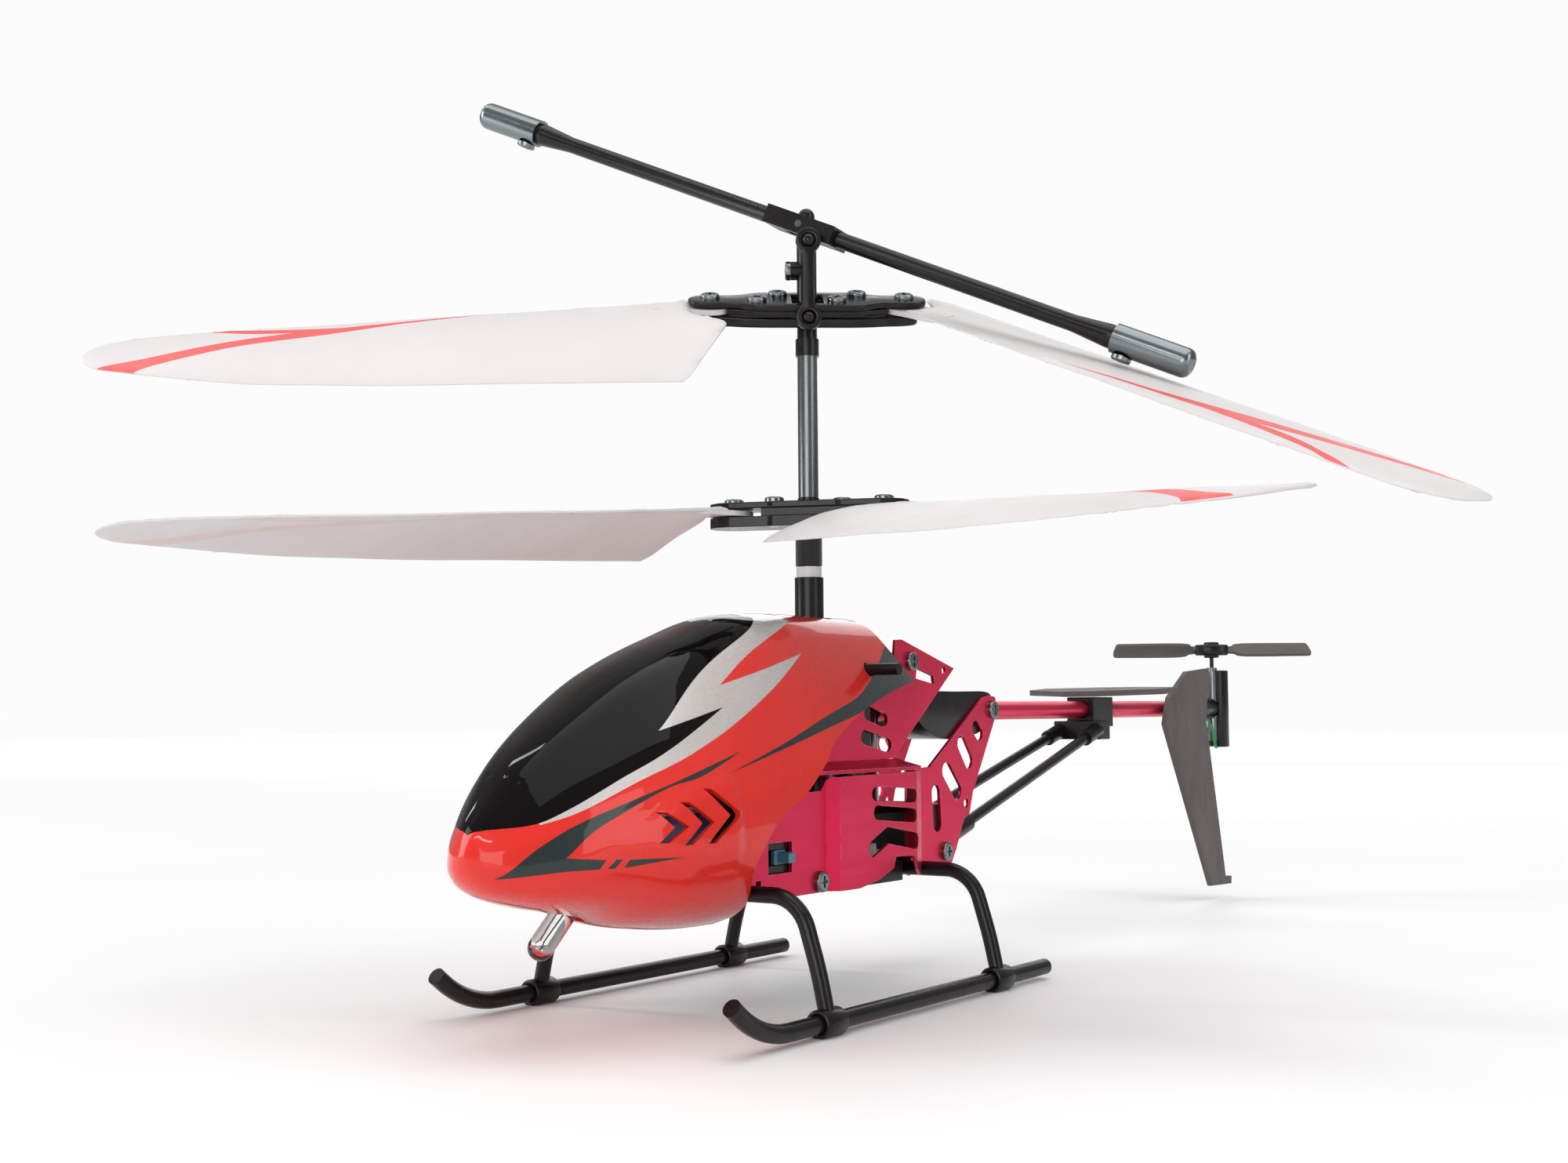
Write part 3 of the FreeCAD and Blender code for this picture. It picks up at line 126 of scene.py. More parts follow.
# ---------------------------------------------------------------- materials


class Finish:
    """A procedural material: a Principled shader, object coordinates, and nodes added by name."""

    def __init__(self, name, **fixed):
        self.material = bpy.data.materials.new(name)
        self.material.use_nodes = True
        self.tree = self.material.node_tree
        self.shader = self.tree.nodes["Principled BSDF"]
        self.place = self.tree.nodes.new("ShaderNodeTexCoord").outputs["Object"]
        self.bump_chain = None
        for socket, value in fixed.items():
            self.shader.inputs[socket.replace("_", " ")].default_value = value

    def add(self, kind, inputs=None, **settings):
        node = self.tree.nodes.new("ShaderNode" + kind)
        for name, value in settings.items():
            setattr(node, name, value)
        for name, value in (inputs or {}).items():
            if isinstance(value, bpy.types.NodeSocket):
                self.tree.links.new(value, node.inputs[name])
            else:
                node.inputs[name].default_value = value
        return node

    def noise(self, scale, detail, roughness=0.5, stretch=(1, 1, 1)):
        place = self.add("Mapping", {"Vector": self.place, "Scale": stretch}).outputs[0]
        inputs = {"Vector": place, "Scale": scale, "Detail": detail, "Roughness": roughness}
        return self.add("TexNoise", inputs).outputs[0]

    def ramp(self, value, stops):
        node = self.add("ValToRGB", {"Fac": value})
        elements = node.color_ramp.elements
        while len(elements) < len(stops):
            elements.new(0.5)
        for element, (position, colour) in zip(elements, stops):
            element.position = position
            element.color = (*colour, 1)
        return node.outputs[0]

    def fade(self, value, low, high, start=0.0, end=1.0):
        inputs = {"Value": value, "From Min": start, "From Max": end, "To Min": low, "To Max": high}
        return self.add("MapRange", inputs).outputs[0]

    def colour(self, source):
        self.tree.links.new(source, self.shader.inputs["Base Color"])

    def roughness(self, source):
        self.tree.links.new(source, self.shader.inputs["Roughness"])

    def bump(self, height, distance):
        """distance in metres; each call adds to the one before."""
        node = self.add("Bump", {"Height": height, "Distance": distance})
        if self.bump_chain:
            self.tree.links.new(self.bump_chain, node.inputs["Normal"])
        self.bump_chain = node.outputs[0]
        self.tree.links.new(self.bump_chain, self.shader.inputs["Normal"])

    def coat_bump(self, height, distance):
        node = self.add("Bump", {"Height": height, "Distance": distance})
        self.tree.links.new(node.outputs[0], self.shader.inputs["Coat Normal"])

    def worn_edges(self, base, worn, amount, radius=0.0004):
        """Mixes a worn colour in along convex edges, broken up by noise; radius in metres."""
        bevel = self.add("Bevel", {"Radius": radius}, samples=4).outputs[0]
        flat = self.add("NewGeometry").outputs["Normal"]
        turn = self.add("VectorMath", {0: bevel, 1: flat}, operation="DOT_PRODUCT").outputs["Value"]
        edge = self.fade(turn, 1, 0, 0.75, 0.995)
        patches = self.fade(self.noise(900, 4), 0, 1, 0.4, 0.7)
        share = self.add("Math", {0: edge, 1: patches}, operation="MULTIPLY").outputs[0]
        share = self.add("Math", {0: share, 1: amount}, operation="MULTIPLY").outputs[0]
        mix = self.add("Mix", data_type="RGBA")
        self.tree.links.new(share, mix.inputs[0])
        self.tree.links.new(base, mix.inputs[6])
        mix.inputs[7].default_value = (*worn, 1)
        return mix.outputs[2]


def shade(colour, factor):
    return tuple(min(1.0, c * factor) for c in colour)


def gloss_paint(name, colour, **fixed):
    """Glossy lacquer on moulded plastic: faint mottle, orange peel and hairline polishing marks."""
    coat = {"Coat_Weight": 1.0, "Coat_Roughness": 0.03, "Coat_IOR": 1.32}
    finish = Finish(name, **{"Specular_IOR_Level": 0.1, **coat, **fixed})
    mottle = finish.noise(55, 4)
    stops = [(0.3, shade(colour, 0.95)), (0.7, shade(colour, 1.04))]
    finish.colour(finish.ramp(mottle, stops))
    peel = finish.noise(420, 2)
    marks = finish.noise(260, 5, 0.7, (6, 1, 1))
    finish.roughness(finish.fade(marks, 0.24, 0.34, 0.35, 0.75))
    finish.bump(peel, 0.000004)
    finish.coat_bump(finish.noise(90, 1, 0.4), 0.000008)
    return finish.material


def moulded(name, colour, roughness, texture=0.00004, drift=0.14, wear=0.5, **fixed):
    """Injection-moulded plastic: fine spark-eroded texture, slow colour drift and rubbed high spots."""
    finish = Finish(name, **fixed)
    cloud = finish.noise(70, 4)
    base = finish.ramp(cloud, [(0.3, shade(colour, 1 - drift)), (0.72, shade(colour, 1 + drift))])
    finish.colour(finish.worn_edges(base, shade(colour, 2.2), wear))
    rubbed = finish.noise(160, 5, 0.65, (1, 3, 1))
    finish.roughness(finish.fade(rubbed, roughness * 0.8, roughness * 1.25, 0.3, 0.7))
    finish.bump(finish.noise(2600, 3), texture)
    finish.bump(finish.noise(240, 2), texture * 2)
    return finish.material


def metal(name, colour, roughness):
    """Machined or drawn metal: fine marks, smudges and slight tarnish."""
    finish = Finish(name, Metallic=1.0)
    smudge = finish.noise(140, 4)
    finish.colour(finish.ramp(smudge, [(0.3, shade(colour, 0.94)), (0.7, shade(colour, 1.04))]))
    marks = finish.noise(260, 2)
    finish.roughness(finish.fade(marks, roughness * 0.9, roughness * 1.2, 0.3, 0.7))
    finish.bump(finish.noise(90, 1), 0.000001)
    return finish.material


def anodised(name, colour):
    """Dyed anodised sheet aluminium: satin rolled grain, cloudy dye and bright rubbed edges."""
    finish = Finish(name, Metallic=0.85)
    cloud = finish.noise(60, 5)
    base = finish.ramp(cloud, [(0.3, shade(colour, 0.88)), (0.7, shade(colour, 1.1))])
    finish.colour(finish.worn_edges(base, (0.85, 0.45, 0.5), 0.7, 0.00025))
    grain = finish.noise(900, 4, 0.6, (1, 0.08, 1))
    finish.roughness(finish.fade(grain, 0.28, 0.42, 0.3, 0.7))
    finish.bump(grain, 0.000015)
    finish.bump(finish.noise(5000, 2), 0.000008)
    return finish.material


def clear_plastic(name):
    """Clear moulded plastic with a little haze and a faintly uneven face."""
    finish = Finish(name, Transmission_Weight=1.0, IOR=1.49, Base_Color=(0.96, 0.98, 0.98, 1))
    finish.roughness(finish.fade(finish.noise(300, 4), 0.02, 0.12, 0.4, 0.8))
    finish.bump(finish.noise(500, 2), 0.00003)
    return finish.material


M = {
    "red_shell": gloss_paint("red_shell", (0.66, 0.025, 0.018)),
    "windscreen_black": gloss_paint(
        "windscreen_black", (0.004, 0.003, 0.003), Specular_IOR_Level=0.0, Coat_IOR=1.22
    ),
    "silver_band": gloss_paint("silver_band", (0.56, 0.53, 0.515), Metallic=0.3),
    "graphite_stripe": gloss_paint("graphite_stripe", (0.02, 0.029, 0.028)),
    "anodised_red": anodised("anodised_red", (0.72, 0.024, 0.085)),
    "steel": metal("steel", (0.2, 0.225, 0.235), 0.2),
    "dark_steel": metal("dark_steel", (0.16, 0.172, 0.175), 0.26),
    "brass": metal("brass", (0.75, 0.55, 0.25), 0.25),
    "black_plastic": moulded(
        "black_plastic", (0.007, 0.0052, 0.0055), 0.25, 0.000006, Specular_IOR_Level=0.3
    ),
    "matte_tail": moulded("matte_tail", (0.092, 0.076, 0.074), 0.5, Specular_IOR_Level=0.3),
    "white_nylon": moulded("white_nylon", (0.72, 0.7, 0.66), 0.4, Subsurface_Weight=0.15),
    "blue_plastic": moulded("blue_plastic", (0.07, 0.2, 0.27), 0.4),
    "battery_wrap": moulded("battery_wrap", (0.12, 0.16, 0.4), 0.25, 0.00008),
    "board_green": moulded("board_green", (0.02, 0.12, 0.05), 0.35),
    "clear_lens": clear_plastic("clear_lens"),
    "blade_plastic": moulded(
        "blade_plastic", (0.62, 0.585, 0.585), 0.5, 0.00002, drift=0.025, wear=0.0
    ),
    "blade_print": moulded("blade_print", (0.7, 0.095, 0.09), 0.45, 0.00002, drift=0.05, wear=0.0),
    "wire_green": moulded("wire_green", (0.03, 0.22, 0.06), 0.35),
    "blade_print_ghost": moulded(
        "blade_print_ghost", (0.62, 0.5, 0.49), 0.5, 0.00002, drift=0.04, wear=0.0
    ),
}

# ---------------------------------------------------------------- shared mesh tools


def hermite(t, start, start_slope, end, end_slope):
    return (
        (2 * t**3 - 3 * t**2 + 1) * start
        + (t**3 - 2 * t**2 + t) * start_slope
        + (3 * t**2 - 2 * t**3) * end
        + (t**3 - t**2) * end_slope
    )


def smooth_line(points, sharp, closed=True, step=0.6):
    """Catmull-Rom through 2-D points that stays straight-cornered at the numbered ones."""
    count = len(points)
    out = []
    for i in range(count if closed else count - 1):
        p1, p2 = np.array(points[i], float), np.array(points[(i + 1) % count], float)
        p0 = p1 if i in sharp or (not closed and i == 0) else np.array(points[i - 1], float)
        after = (i + 1) % count
        p3 = p2
        if after not in sharp and (closed or after != count - 1):
            p3 = np.array(points[(i + 2) % count], float)
        t1 = (p2 - p0) / (2 if i not in sharp else 1)
        t2 = (p3 - p1) / (2 if after not in sharp else 1)
        if i in sharp and after in sharp:
            t1 = t2 = p2 - p1
        parts = max(1, int(np.linalg.norm(p2 - p1) / step))
        out += [hermite(k / parts, p1, t1, p2, t2) for k in range(parts)]
    if not closed:
        out.append(np.array(points[-1], float))
    return out


def ring(centre, radius, count=20):
    turns = [2 * math.pi * k / count for k in range(count)]
    return [(centre[0] + radius * math.cos(t), centre[1] + radius * math.sin(t)) for t in turns]


def counter_clockwise(line):
    area = sum(a[0] * b[1] - b[0] * a[1] for a, b in zip(line, list(line[1:]) + [line[0]]))
    return line if area > 0 else line[::-1]


def triangulate(outline, painted, holes, grid, clear):
    """Triangles inside outline, less the holes, with grid points at least clear from every line.

    Each triangle carries the number of the last painted area that holds it, or 0.
    """
    lines = [counter_clockwise(line) for line in [outline] + painted + holes]
    tree = kdtree.KDTree(sum(len(line) for line in lines))
    points, faces = [], []
    for line in lines:
        faces.append(list(range(len(points), len(points) + len(line))))
        for p in line:
            tree.insert((p[0], p[1], 0), len(points))
            points.append(Vector(p[:2]))
    tree.balance()
    for p in grid:
        if tree.find((p[0], p[1], 0))[2] > clear:
            points.append(Vector(p))
    made = geometry.delaunay_2d_cdt(points, [], faces, 0, 1e-5, True)
    vertices, triangles, owners = made[0], made[2], made[5]
    first_hole = 1 + len(painted)
    kept, paint = [], []
    for triangle, inside in zip(triangles, owners):
        if 0 not in inside or any(owner >= first_hole for owner in inside):
            continue
        kept.append(triangle)
        paint.append(max((owner for owner in inside if owner > 0), default=0))
    return vertices, kept, paint


def closed_plate(faces, count):
    """The given faces on top, the same ones below, count points further on, and the rim between them."""
    edges = dict.fromkeys(pair for face in faces for pair in zip(face, list(face[1:]) + [face[0]]))
    rim = [[b, a, a + count, b + count] for a, b in edges if (b, a) not in edges]
    return list(faces) + [[v + count for v in reversed(face)] for face in faces] + rim


def mesh_object(name, points, faces, materials, indices=None, smooth_angle=40):
    mesh = bpy.data.meshes.new(name)
    mesh.from_pydata([tuple(c * MM for c in p) for p in points], [], faces)
    for material in materials:
        mesh.materials.append(material)
    if indices is not None:
        mesh.polygons.foreach_set("material_index", indices)
    made = bpy.data.objects.new(name, mesh)
    bpy.context.scene.collection.objects.link(made)
    tidy_mesh(made, smooth_angle)
    return made


def tidy_mesh(made, smooth_angle):
    """Welds points closer than a hundredth of a mm and turns every face outward."""
    merge = 0.00001
    shell = bmesh.new()
    shell.from_mesh(made.data)
    bmesh.ops.remove_doubles(shell, verts=shell.verts, dist=merge)
    bmesh.ops.dissolve_degenerate(shell, edges=shell.edges, dist=merge / 4)
    bmesh.ops.recalc_face_normals(shell, faces=shell.faces)
    shell.to_mesh(made.data)
    shell.free()
    shade_faces(made, smooth_angle)


def shade_faces(made, smooth_angle):
    made.data.shade_smooth()
    made.data.set_sharp_from_angle(angle=math.radians(smooth_angle))


def modify(made, kind, **settings):
    modifier = made.modifiers.new(kind.lower(), kind)
    for name, value in settings.items():
        setattr(modifier, name, value)


def apply_modifiers(made, smooth_angle=40):
    graph = bpy.context.evaluated_depsgraph_get()
    mesh = bpy.data.meshes.new_from_object(made.evaluated_get(graph))
    made.modifiers.clear()
    made.data = mesh
    shade_faces(made, smooth_angle)


def ease(value, low, high):
    """0 at low and 1 at high, with a smooth start and stop."""
    t = min(1.0, max(0.0, (value - low) / (high - low)))
    return t * t * (3 - 2 * t)


def monotone(xs, ys, x):
    """Monotone cubic through (xs, ys)."""
    xs, ys = np.array(xs, float), np.array(ys, float)
    gap = np.diff(xs)
    rise = np.diff(ys) / gap
    slope = np.zeros_like(ys)
    for i in range(1, len(xs) - 1):
        if rise[i - 1] * rise[i] > 0:
            a, b = 2 * gap[i] + gap[i - 1], gap[i] + 2 * gap[i - 1]
            slope[i] = (a + b) / (a / rise[i - 1] + b / rise[i])
    slope[0], slope[-1] = rise[0], rise[-1]
    i = int(np.clip(np.searchsorted(xs, x) - 1, 0, len(xs) - 2))
    return hermite((x - xs[i]) / gap[i], ys[i], gap[i] * slope[i], ys[i + 1], gap[i] * slope[i + 1])


# ---------------------------------------------------------------- canopy
# Nose to tail: Y, half width, top, bottom. Half section: height share, width share.
NOSE = -67.0
CANOPY_STATIONS = [
    (NOSE, 0, 7.5, 7.5), (-64, 5.5, 13.6, 3.2), (-59, 9, 18.9, 1.6), (-52, 12, 23.8, 0.2),
    (-43, 14.2, 28.8, -2.2), (-32, 15, 32.9, -3.3), (-22, 15, 35.6, -3.4), (-8, 14.6, 36.3, -3),
    (8, 13.5, 36.2, -3), (16, 12.5, 35.5, -3),
]
CANOPY_PROFILE = [
    (0, 0), (0.03, 0.45), (0.12, 0.8), (0.3, 1), (0.5, 0.97), (0.7, 0.8), (0.86, 0.58), (0.97, 0.34), (1, 0),
]
# The shell's open rear edge, the holes and the painted areas are side views: Y, Z.
REAR_EDGE = [
    (-29.2, -3.4), (-29.0, -1.8), (-31.4, 1.5), (-33.3, 4.6), (-32.2, 7.4), (-28.6, 10.6), (-23.2, 13.2),
    (-18.2, 16.8), (-14, 19.7), (-5.2, 23.2), (5.5, 26), (13, 27.3), (12.6, 28), (10.4, 30.4), (8.3, 33.1),
    (6.7, 36.5),
]
PROFILE_TURNS = [math.acos(1 - 2 * height) for height, share in CANOPY_PROFILE]
PROFILE_SHARES = [share for height, share in CANOPY_PROFILE]
STATION_ROOTS = [math.sqrt(y - NOSE) for y, *rest in CANOPY_STATIONS]
# Scales of the flattened shell, so that its triangles come out near equal-sided.
AROUND = 16.0
ALONG = 9.0
CANOPY_THICK = 0.7
MAST_HOLE = 3.1
LAMP_HOLE_Y, LAMP_HOLE_LENGTH, LAMP_HOLE_WIDTH = -50.3, 2.3, 1.75
SCREW_HOLE, SCREW_HOLE_RADIUS = (0.5, 28.8), 0.95


def canopy_section(root):
    """Half width, top and bottom at a root of the distance behind the nose."""
    return [monotone(STATION_ROOTS, [s[k] for s in CANOPY_STATIONS], root) for k in (1, 2, 3)]


def canopy_flat(y, z):
    """A side-view point on the flattened shell: root of the distance from the nose, turn from the keel."""
    root = math.sqrt(max(0.0, y - NOSE))
    _, top, bottom = canopy_section(root)
    share = min(1.0, max(0.0, (z - bottom) / max(1e-6, top - bottom)))
    return (root * ALONG, math.acos(1 - 2 * share) * AROUND)


def canopy_flat_from_x(y, x, over):
    """Same, from the distance off the centre plane, on the roof or the keel."""
    root = math.sqrt(y - NOSE)
    half = canopy_section(root)[0]
    low, high = (math.pi / 2, math.pi) if over else (0, 1.0)
    halvings = 40
    for _ in range(halvings):
        turn = (low + high) / 2
        wide = monotone(PROFILE_TURNS, PROFILE_SHARES, turn) * half
        if (wide > x) == over:
            low = turn
        else:
            high = turn
    return (root * ALONG, turn * AROUND)


def canopy_relief(y, z):
    """Sculpted swell round the vents, and the fold that runs back from it."""
    spread = 0.8 + 4.6 * ease(y, -57, -40)
    swell = ease(y, -57.5, -45) * (1 - ease(y, -37.6, -36.4))
    off = abs(z - (9.4 + 0.12 * (y + 50))) / spread
    relief = 0.9 * swell * (1 - ease(off, 0.55, 1.15))
    fold = z - (13.2 + 0.22 * (y + 36))
    relief += 0.7 * ease(y, -42, -35) * (1 - ease(fold, -0.5, 1.6)) * ease(z, 2, 9)
    return relief


def canopy_point(along, around):
    """From the flattened shell back to X, Y, Z."""
    root, turn = along / ALONG, around / AROUND
    half, top, bottom = canopy_section(root)
    y = NOSE + root * root
    share = 0.0 if turn >= math.pi - 1e-9 or turn <= 0 else monotone(PROFILE_TURNS, PROFILE_SHARES, turn)
    z = bottom + (1 - math.cos(turn)) / 2 * (top - bottom)
    wide = share * half
    if wide > 0:
        wide += canopy_relief(y, z) * ease(wide, 2, 9) * 0.6
    return (wide, y, z)


def side_area(points, sharp):
    return [canopy_flat(y, z) for y, z in smooth_line(points, sharp)]


WINDSCREEN = [
    (-67, 10.3), (-65.1, 10.7), (-62.1, 11.2), (-58.8, 12.7), (-52.7, 15.7), (-46.1, 18.5), (-34.5, 23.8),
    (-45.5, 21.1), (-34.5, 28.4), (-18.5, 35.4), (-17.2, 40), (-67, 40),
]
SILVER = [
    (-61.8, 11.1), (-57.9, 12.4), (-50.8, 15.4), (-42.2, 18.4), (-33.4, 21.9), (-24.8, 25.8), (-14.6, 30.7),
    (-33.4, 26.4), (-24.3, 31.0), (-12.1, 35.2), (-11.2, 40), (-60, 40),
]
LOWER_STRIPE = [
    (-65.6, 5.4), (-61.8, 9.1), (-55.7, 12.2), (-40.8, 16.8), (-22.4, 21.7), (-33.4, 18.9), (-41.7, 15.9),
    (-47.7, 14.5), (-56.0, 10.8), (-59.9, 7.5), (-55.7, 7.1), (-56.3, 6.1), (-60.2, 6.0),
]
STRIPE_BLOCK = [(-54.6, 7.1), (-53.8, 7.05), (-54.6, 6.1), (-55.5, 6.1)]
STRIPE_DASH = [(-53.0, 7.0), (-46.1, 6.9), (-53.5, 6.1)]
UPPER_STRIPE = [
    (-38.1, 15.9), (-27.3, 18.9), (-15.5, 22.4), (-6.3, 24.8), (-1.9, 26.6), (0.3, 27.7), (4.7, 30.0),
    (10.2, 33.2), (20, 33), (20, 26), (5.5, 26.0), (-5.2, 23.2), (-16.6, 20.8), (-29.0, 18.0),
]
# Chevron vents: Y of the tip, Z of the middle, how far back the arms reach and how far they rise.
VENTS = [(-45.5, 10.3, 2.8, 1.7), (-41.5, 10.6, 3.6, 2.4), (-37, 11.3, 4.4, 3.1)]
VENT_WIDTH = 1.25


def vent_outline(tip, middle, reach, rise):
    wide = VENT_WIDTH
    return [
        (tip, middle), (tip - reach, middle + rise), (tip - reach - wide, middle + rise * 1.04),
        (tip - wide * 1.6, middle), (tip - reach - wide, middle - rise), (tip - reach, middle - rise),
    ]


def build_canopy():
    rear = [canopy_flat(y, z) for y, z in smooth_line(REAR_EDGE, {1, 11, 12}, closed=False)]
    far = rear[0][0]
    top = math.pi * AROUND
    rear[0], rear[-1] = (far, 0), (rear[-1][0], top)
    steps = np.linspace(0, 1, 60)
    keel = [(far * t, 0) for t in steps[:-1]]
    roof = [(rear[-1][0] * (1 - t), top) for t in steps[1:-1]]
    nose = [(0, top * (1 - t)) for t in steps[:-1]]
    outline = keel + rear + roof + nose
    painted = [
        side_area(SILVER, {0, 6, 7, 9, 10, 11}),
        side_area(WINDSCREEN, {0, 6, 7, 9, 10, 11}),
        side_area(LOWER_STRIPE, {0, 4, 5, 9, 10, 11}),
        side_area(STRIPE_BLOCK, {0, 1, 2, 3}),
        side_area(STRIPE_DASH, {0, 1, 2}),
        side_area(UPPER_STRIPE, {0, 7, 8, 9, 10}),
    ]
    mast = [
        canopy_flat_from_x(MAST_HOLE * math.cos(t), MAST_HOLE * math.sin(t), True)
        for t in np.linspace(0, math.pi, 16)
    ]
    lamp = [
        canopy_flat_from_x(LAMP_HOLE_Y + LAMP_HOLE_LENGTH * math.cos(t), LAMP_HOLE_WIDTH * math.sin(t), False)
        for t in np.linspace(0, math.pi, 14)
    ]
    for line, edge in ((mast, top), (lamp, 0)):
        line[0], line[-1] = (line[0][0], edge), (line[-1][0], edge)
    holes = [side_area(vent_outline(*vent), set(range(6))) for vent in VENTS]
    holes += [[canopy_flat(*p) for p in ring(SCREW_HOLE, SCREW_HOLE_RADIUS)], mast, lamp]
    margin, end = 0.2, 9.1 * ALONG
    grid = [(a, s) for a in np.linspace(0, end, 110) for s in np.linspace(0, top, 64)]
    grid = [p for p in grid if margin < p[0] and margin < p[1] < top - margin]
    flat, faces, paint = triangulate(outline, painted, holes, grid, 0.33)
    points = [canopy_point(*p) for p in flat]
    count = len(points)
    points += [(-x, y, z) for x, y, z in points]
    faces += [[v + count for v in reversed(face)] for face in faces]
    material_of_area = (0, 2, 1, 3, 3, 3, 3)
    indices = [material_of_area[p] for p in paint] * 2
    materials = [M[n] for n in ("red_shell", "windscreen_black", "silver_band", "graphite_stripe")]
    shell = mesh_object("canopy_shell", points, faces, materials, indices)
    modify(shell, "SOLIDIFY", thickness=CANOPY_THICK * MM, offset=-1)
    apply_modifiers(shell, 35)
    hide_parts("canopy")
    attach(shell, "airframe")


build_canopy()

# ---------------------------------------------------------------- rotor blades
# In a blade's own plan: distance outboard, distance back from the pivot's line.
BLADE_EDGES = [
    (5, -2.3), (30, -2.35), (55, -2.35), (76, -2.2), (82, -1.5), (86, 0.4), (87.7, 3.4), (87.2, 6.4),
    (85, 8.7), (81, 10.3), (63.4, 15), (50, 16.7), (37, 17.9), (15, 19.5),
]
LOWER_ROOT = [(2.6, 20.3), (1.4, 18.6), (0.7, 14), (0.5, 8.4), (1.2, 5.2), (2.6, 2.6), (3.4, -1.4)]
UPPER_ROOT = [
    (3, 20.4), (1.8, 19), (-0.4, 14), (-2, 9.8), (-2.6, 7.6), (-1.6, 6.2), (0.4, 5), (2.6, 3), (3.4, -1.4),
]
BLADE_SWOOSH = [
    (30, -1.7), (44, -0.5), (55, 0.7), (64.5, 2.7), (71, 4.6), (78, 7.2), (86, 10), (82, 12.6), (76.5, 9.6),
    (70, 6.9), (64.5, 5.1), (55, 3.2), (44, 0.5),
]
BLADE_DART = [
    (49, 0.4), (57, 0), (64.5, -0.9), (70, -2), (73, -2.9), (76, -2.9), (70, -0.9), (64.5, 0.8), (57, 1.6),
]
BLADE_CHORD, BLADE_CAMBER, BLADE_THICK = 20.0, 1.5, 0.62
BLADE_PITCH, BLADE_DROOP = -15.0, 4.5
TAB_HALF, TAB_RADIUS = 0.36, 2.7
# Hub heights above the belly, turns about the mast at rest, and blade pivots out from the mast.
UPPER_HUB, LOWER_HUB = 79.6, 50.8
UPPER_TURN, LOWER_TURN, HEAD_TILT = 37.0, 22.0, 25.0
UPPER_PIVOT, LOWER_PIVOT = 13.6, 10.7


def turned(axis, degrees):
    return Matrix.Rotation(math.radians(degrees), 4, axis)


def hub_frame(height, turn, tilt=0.0):
    return Matrix.Translation((0, 0, height)) @ turned("Z", turn) @ turned("X", tilt)


def camber_height(back):
    """Arc through the leading edge, the high point and the trailing edge."""
    front, rear, peak = -2.6, BLADE_CHORD + 1, BLADE_CHORD * 0.4
    rise = BLADE_CAMBER / ((peak - front) * (rear - peak))
    return rise * (back - front) * (rear - back) - BLADE_THICK / 2


def blade_skin_thickness(out, back, edge):
    """Full inside, feathered to the trailing edge and rounded at every edge."""
    body = BLADE_THICK * (1 - 0.45 * ease(back, 6, 20))
    body += 0.35 * (1 - ease(out, 2, 16)) * (1 - ease(back, 4, 17))
    return body * (0.3 + 0.7 * ease(edge, 0, 0.7))


def build_blade(name, place, turning, print_above):
    """One cambered, pitched and drooped blade; turning is 1 on the upper rotor and -1 on the lower one."""
    root = LOWER_ROOT if turning < 0 else UPPER_ROOT
    step = 0.8
    plan = [tuple(p) for p in smooth_line(BLADE_EDGES + root, {len(BLADE_EDGES)}, step=step)]
    prints = [
        [tuple(p) for p in smooth_line(area, {0, len(area) - 1}, step=step)]
        for area in (BLADE_DART, BLADE_SWOOSH)
    ]
    steps_out, steps_back = np.linspace(-3, 87.4, 92), np.linspace(-2.2, 20, 24)
    inside = [(out, back) for out in steps_out for back in steps_back]
    flat, faces, paint = triangulate(plan, prints, [], inside, step / 2)
    tree = kdtree.KDTree(len(plan))
    for i, p in enumerate(plan):
        tree.insert((*p, 0), i)
    tree.balance()
    top, bottom = [], []
    for out, back in flat:
        edge = tree.find((out, back, 0))[2]
        thick = blade_skin_thickness(out, back, edge)
        wave = 0.05 * math.sin(out * 0.21 + back * 0.13) * ease(out, 10, 30)
        middle = camber_height(back) + BLADE_THICK / 2 + wave
        top.append((out, back, middle + thick / 2))
        bottom.append((out, back, middle - thick / 2))
    solid = closed_plate(faces, len(flat))
    printed = [1 if p else 0 for p in paint]
    plain = [0] * len(paint)
    above, below = (printed, plain) if print_above else (plain, [2 * p for p in printed])
    indices = above + below + [0] * (len(solid) - 2 * len(faces))
    lean = turned("Y", BLADE_DROOP) @ turned("X", BLADE_PITCH)
    if turning < 0:
        lean = Matrix.Scale(-1, 4, (0, 1, 0)) @ lean
    points = [tuple(place @ (lean @ Vector(p))) for p in top + bottom]
    materials = [M["blade_plastic"], M["blade_print"], M["blade_print_ghost"]]
    blade = mesh_object(name, points, solid, materials, indices, 50)
    tab = build_tab(name, place, turning)
    return join_into(blade, tab)


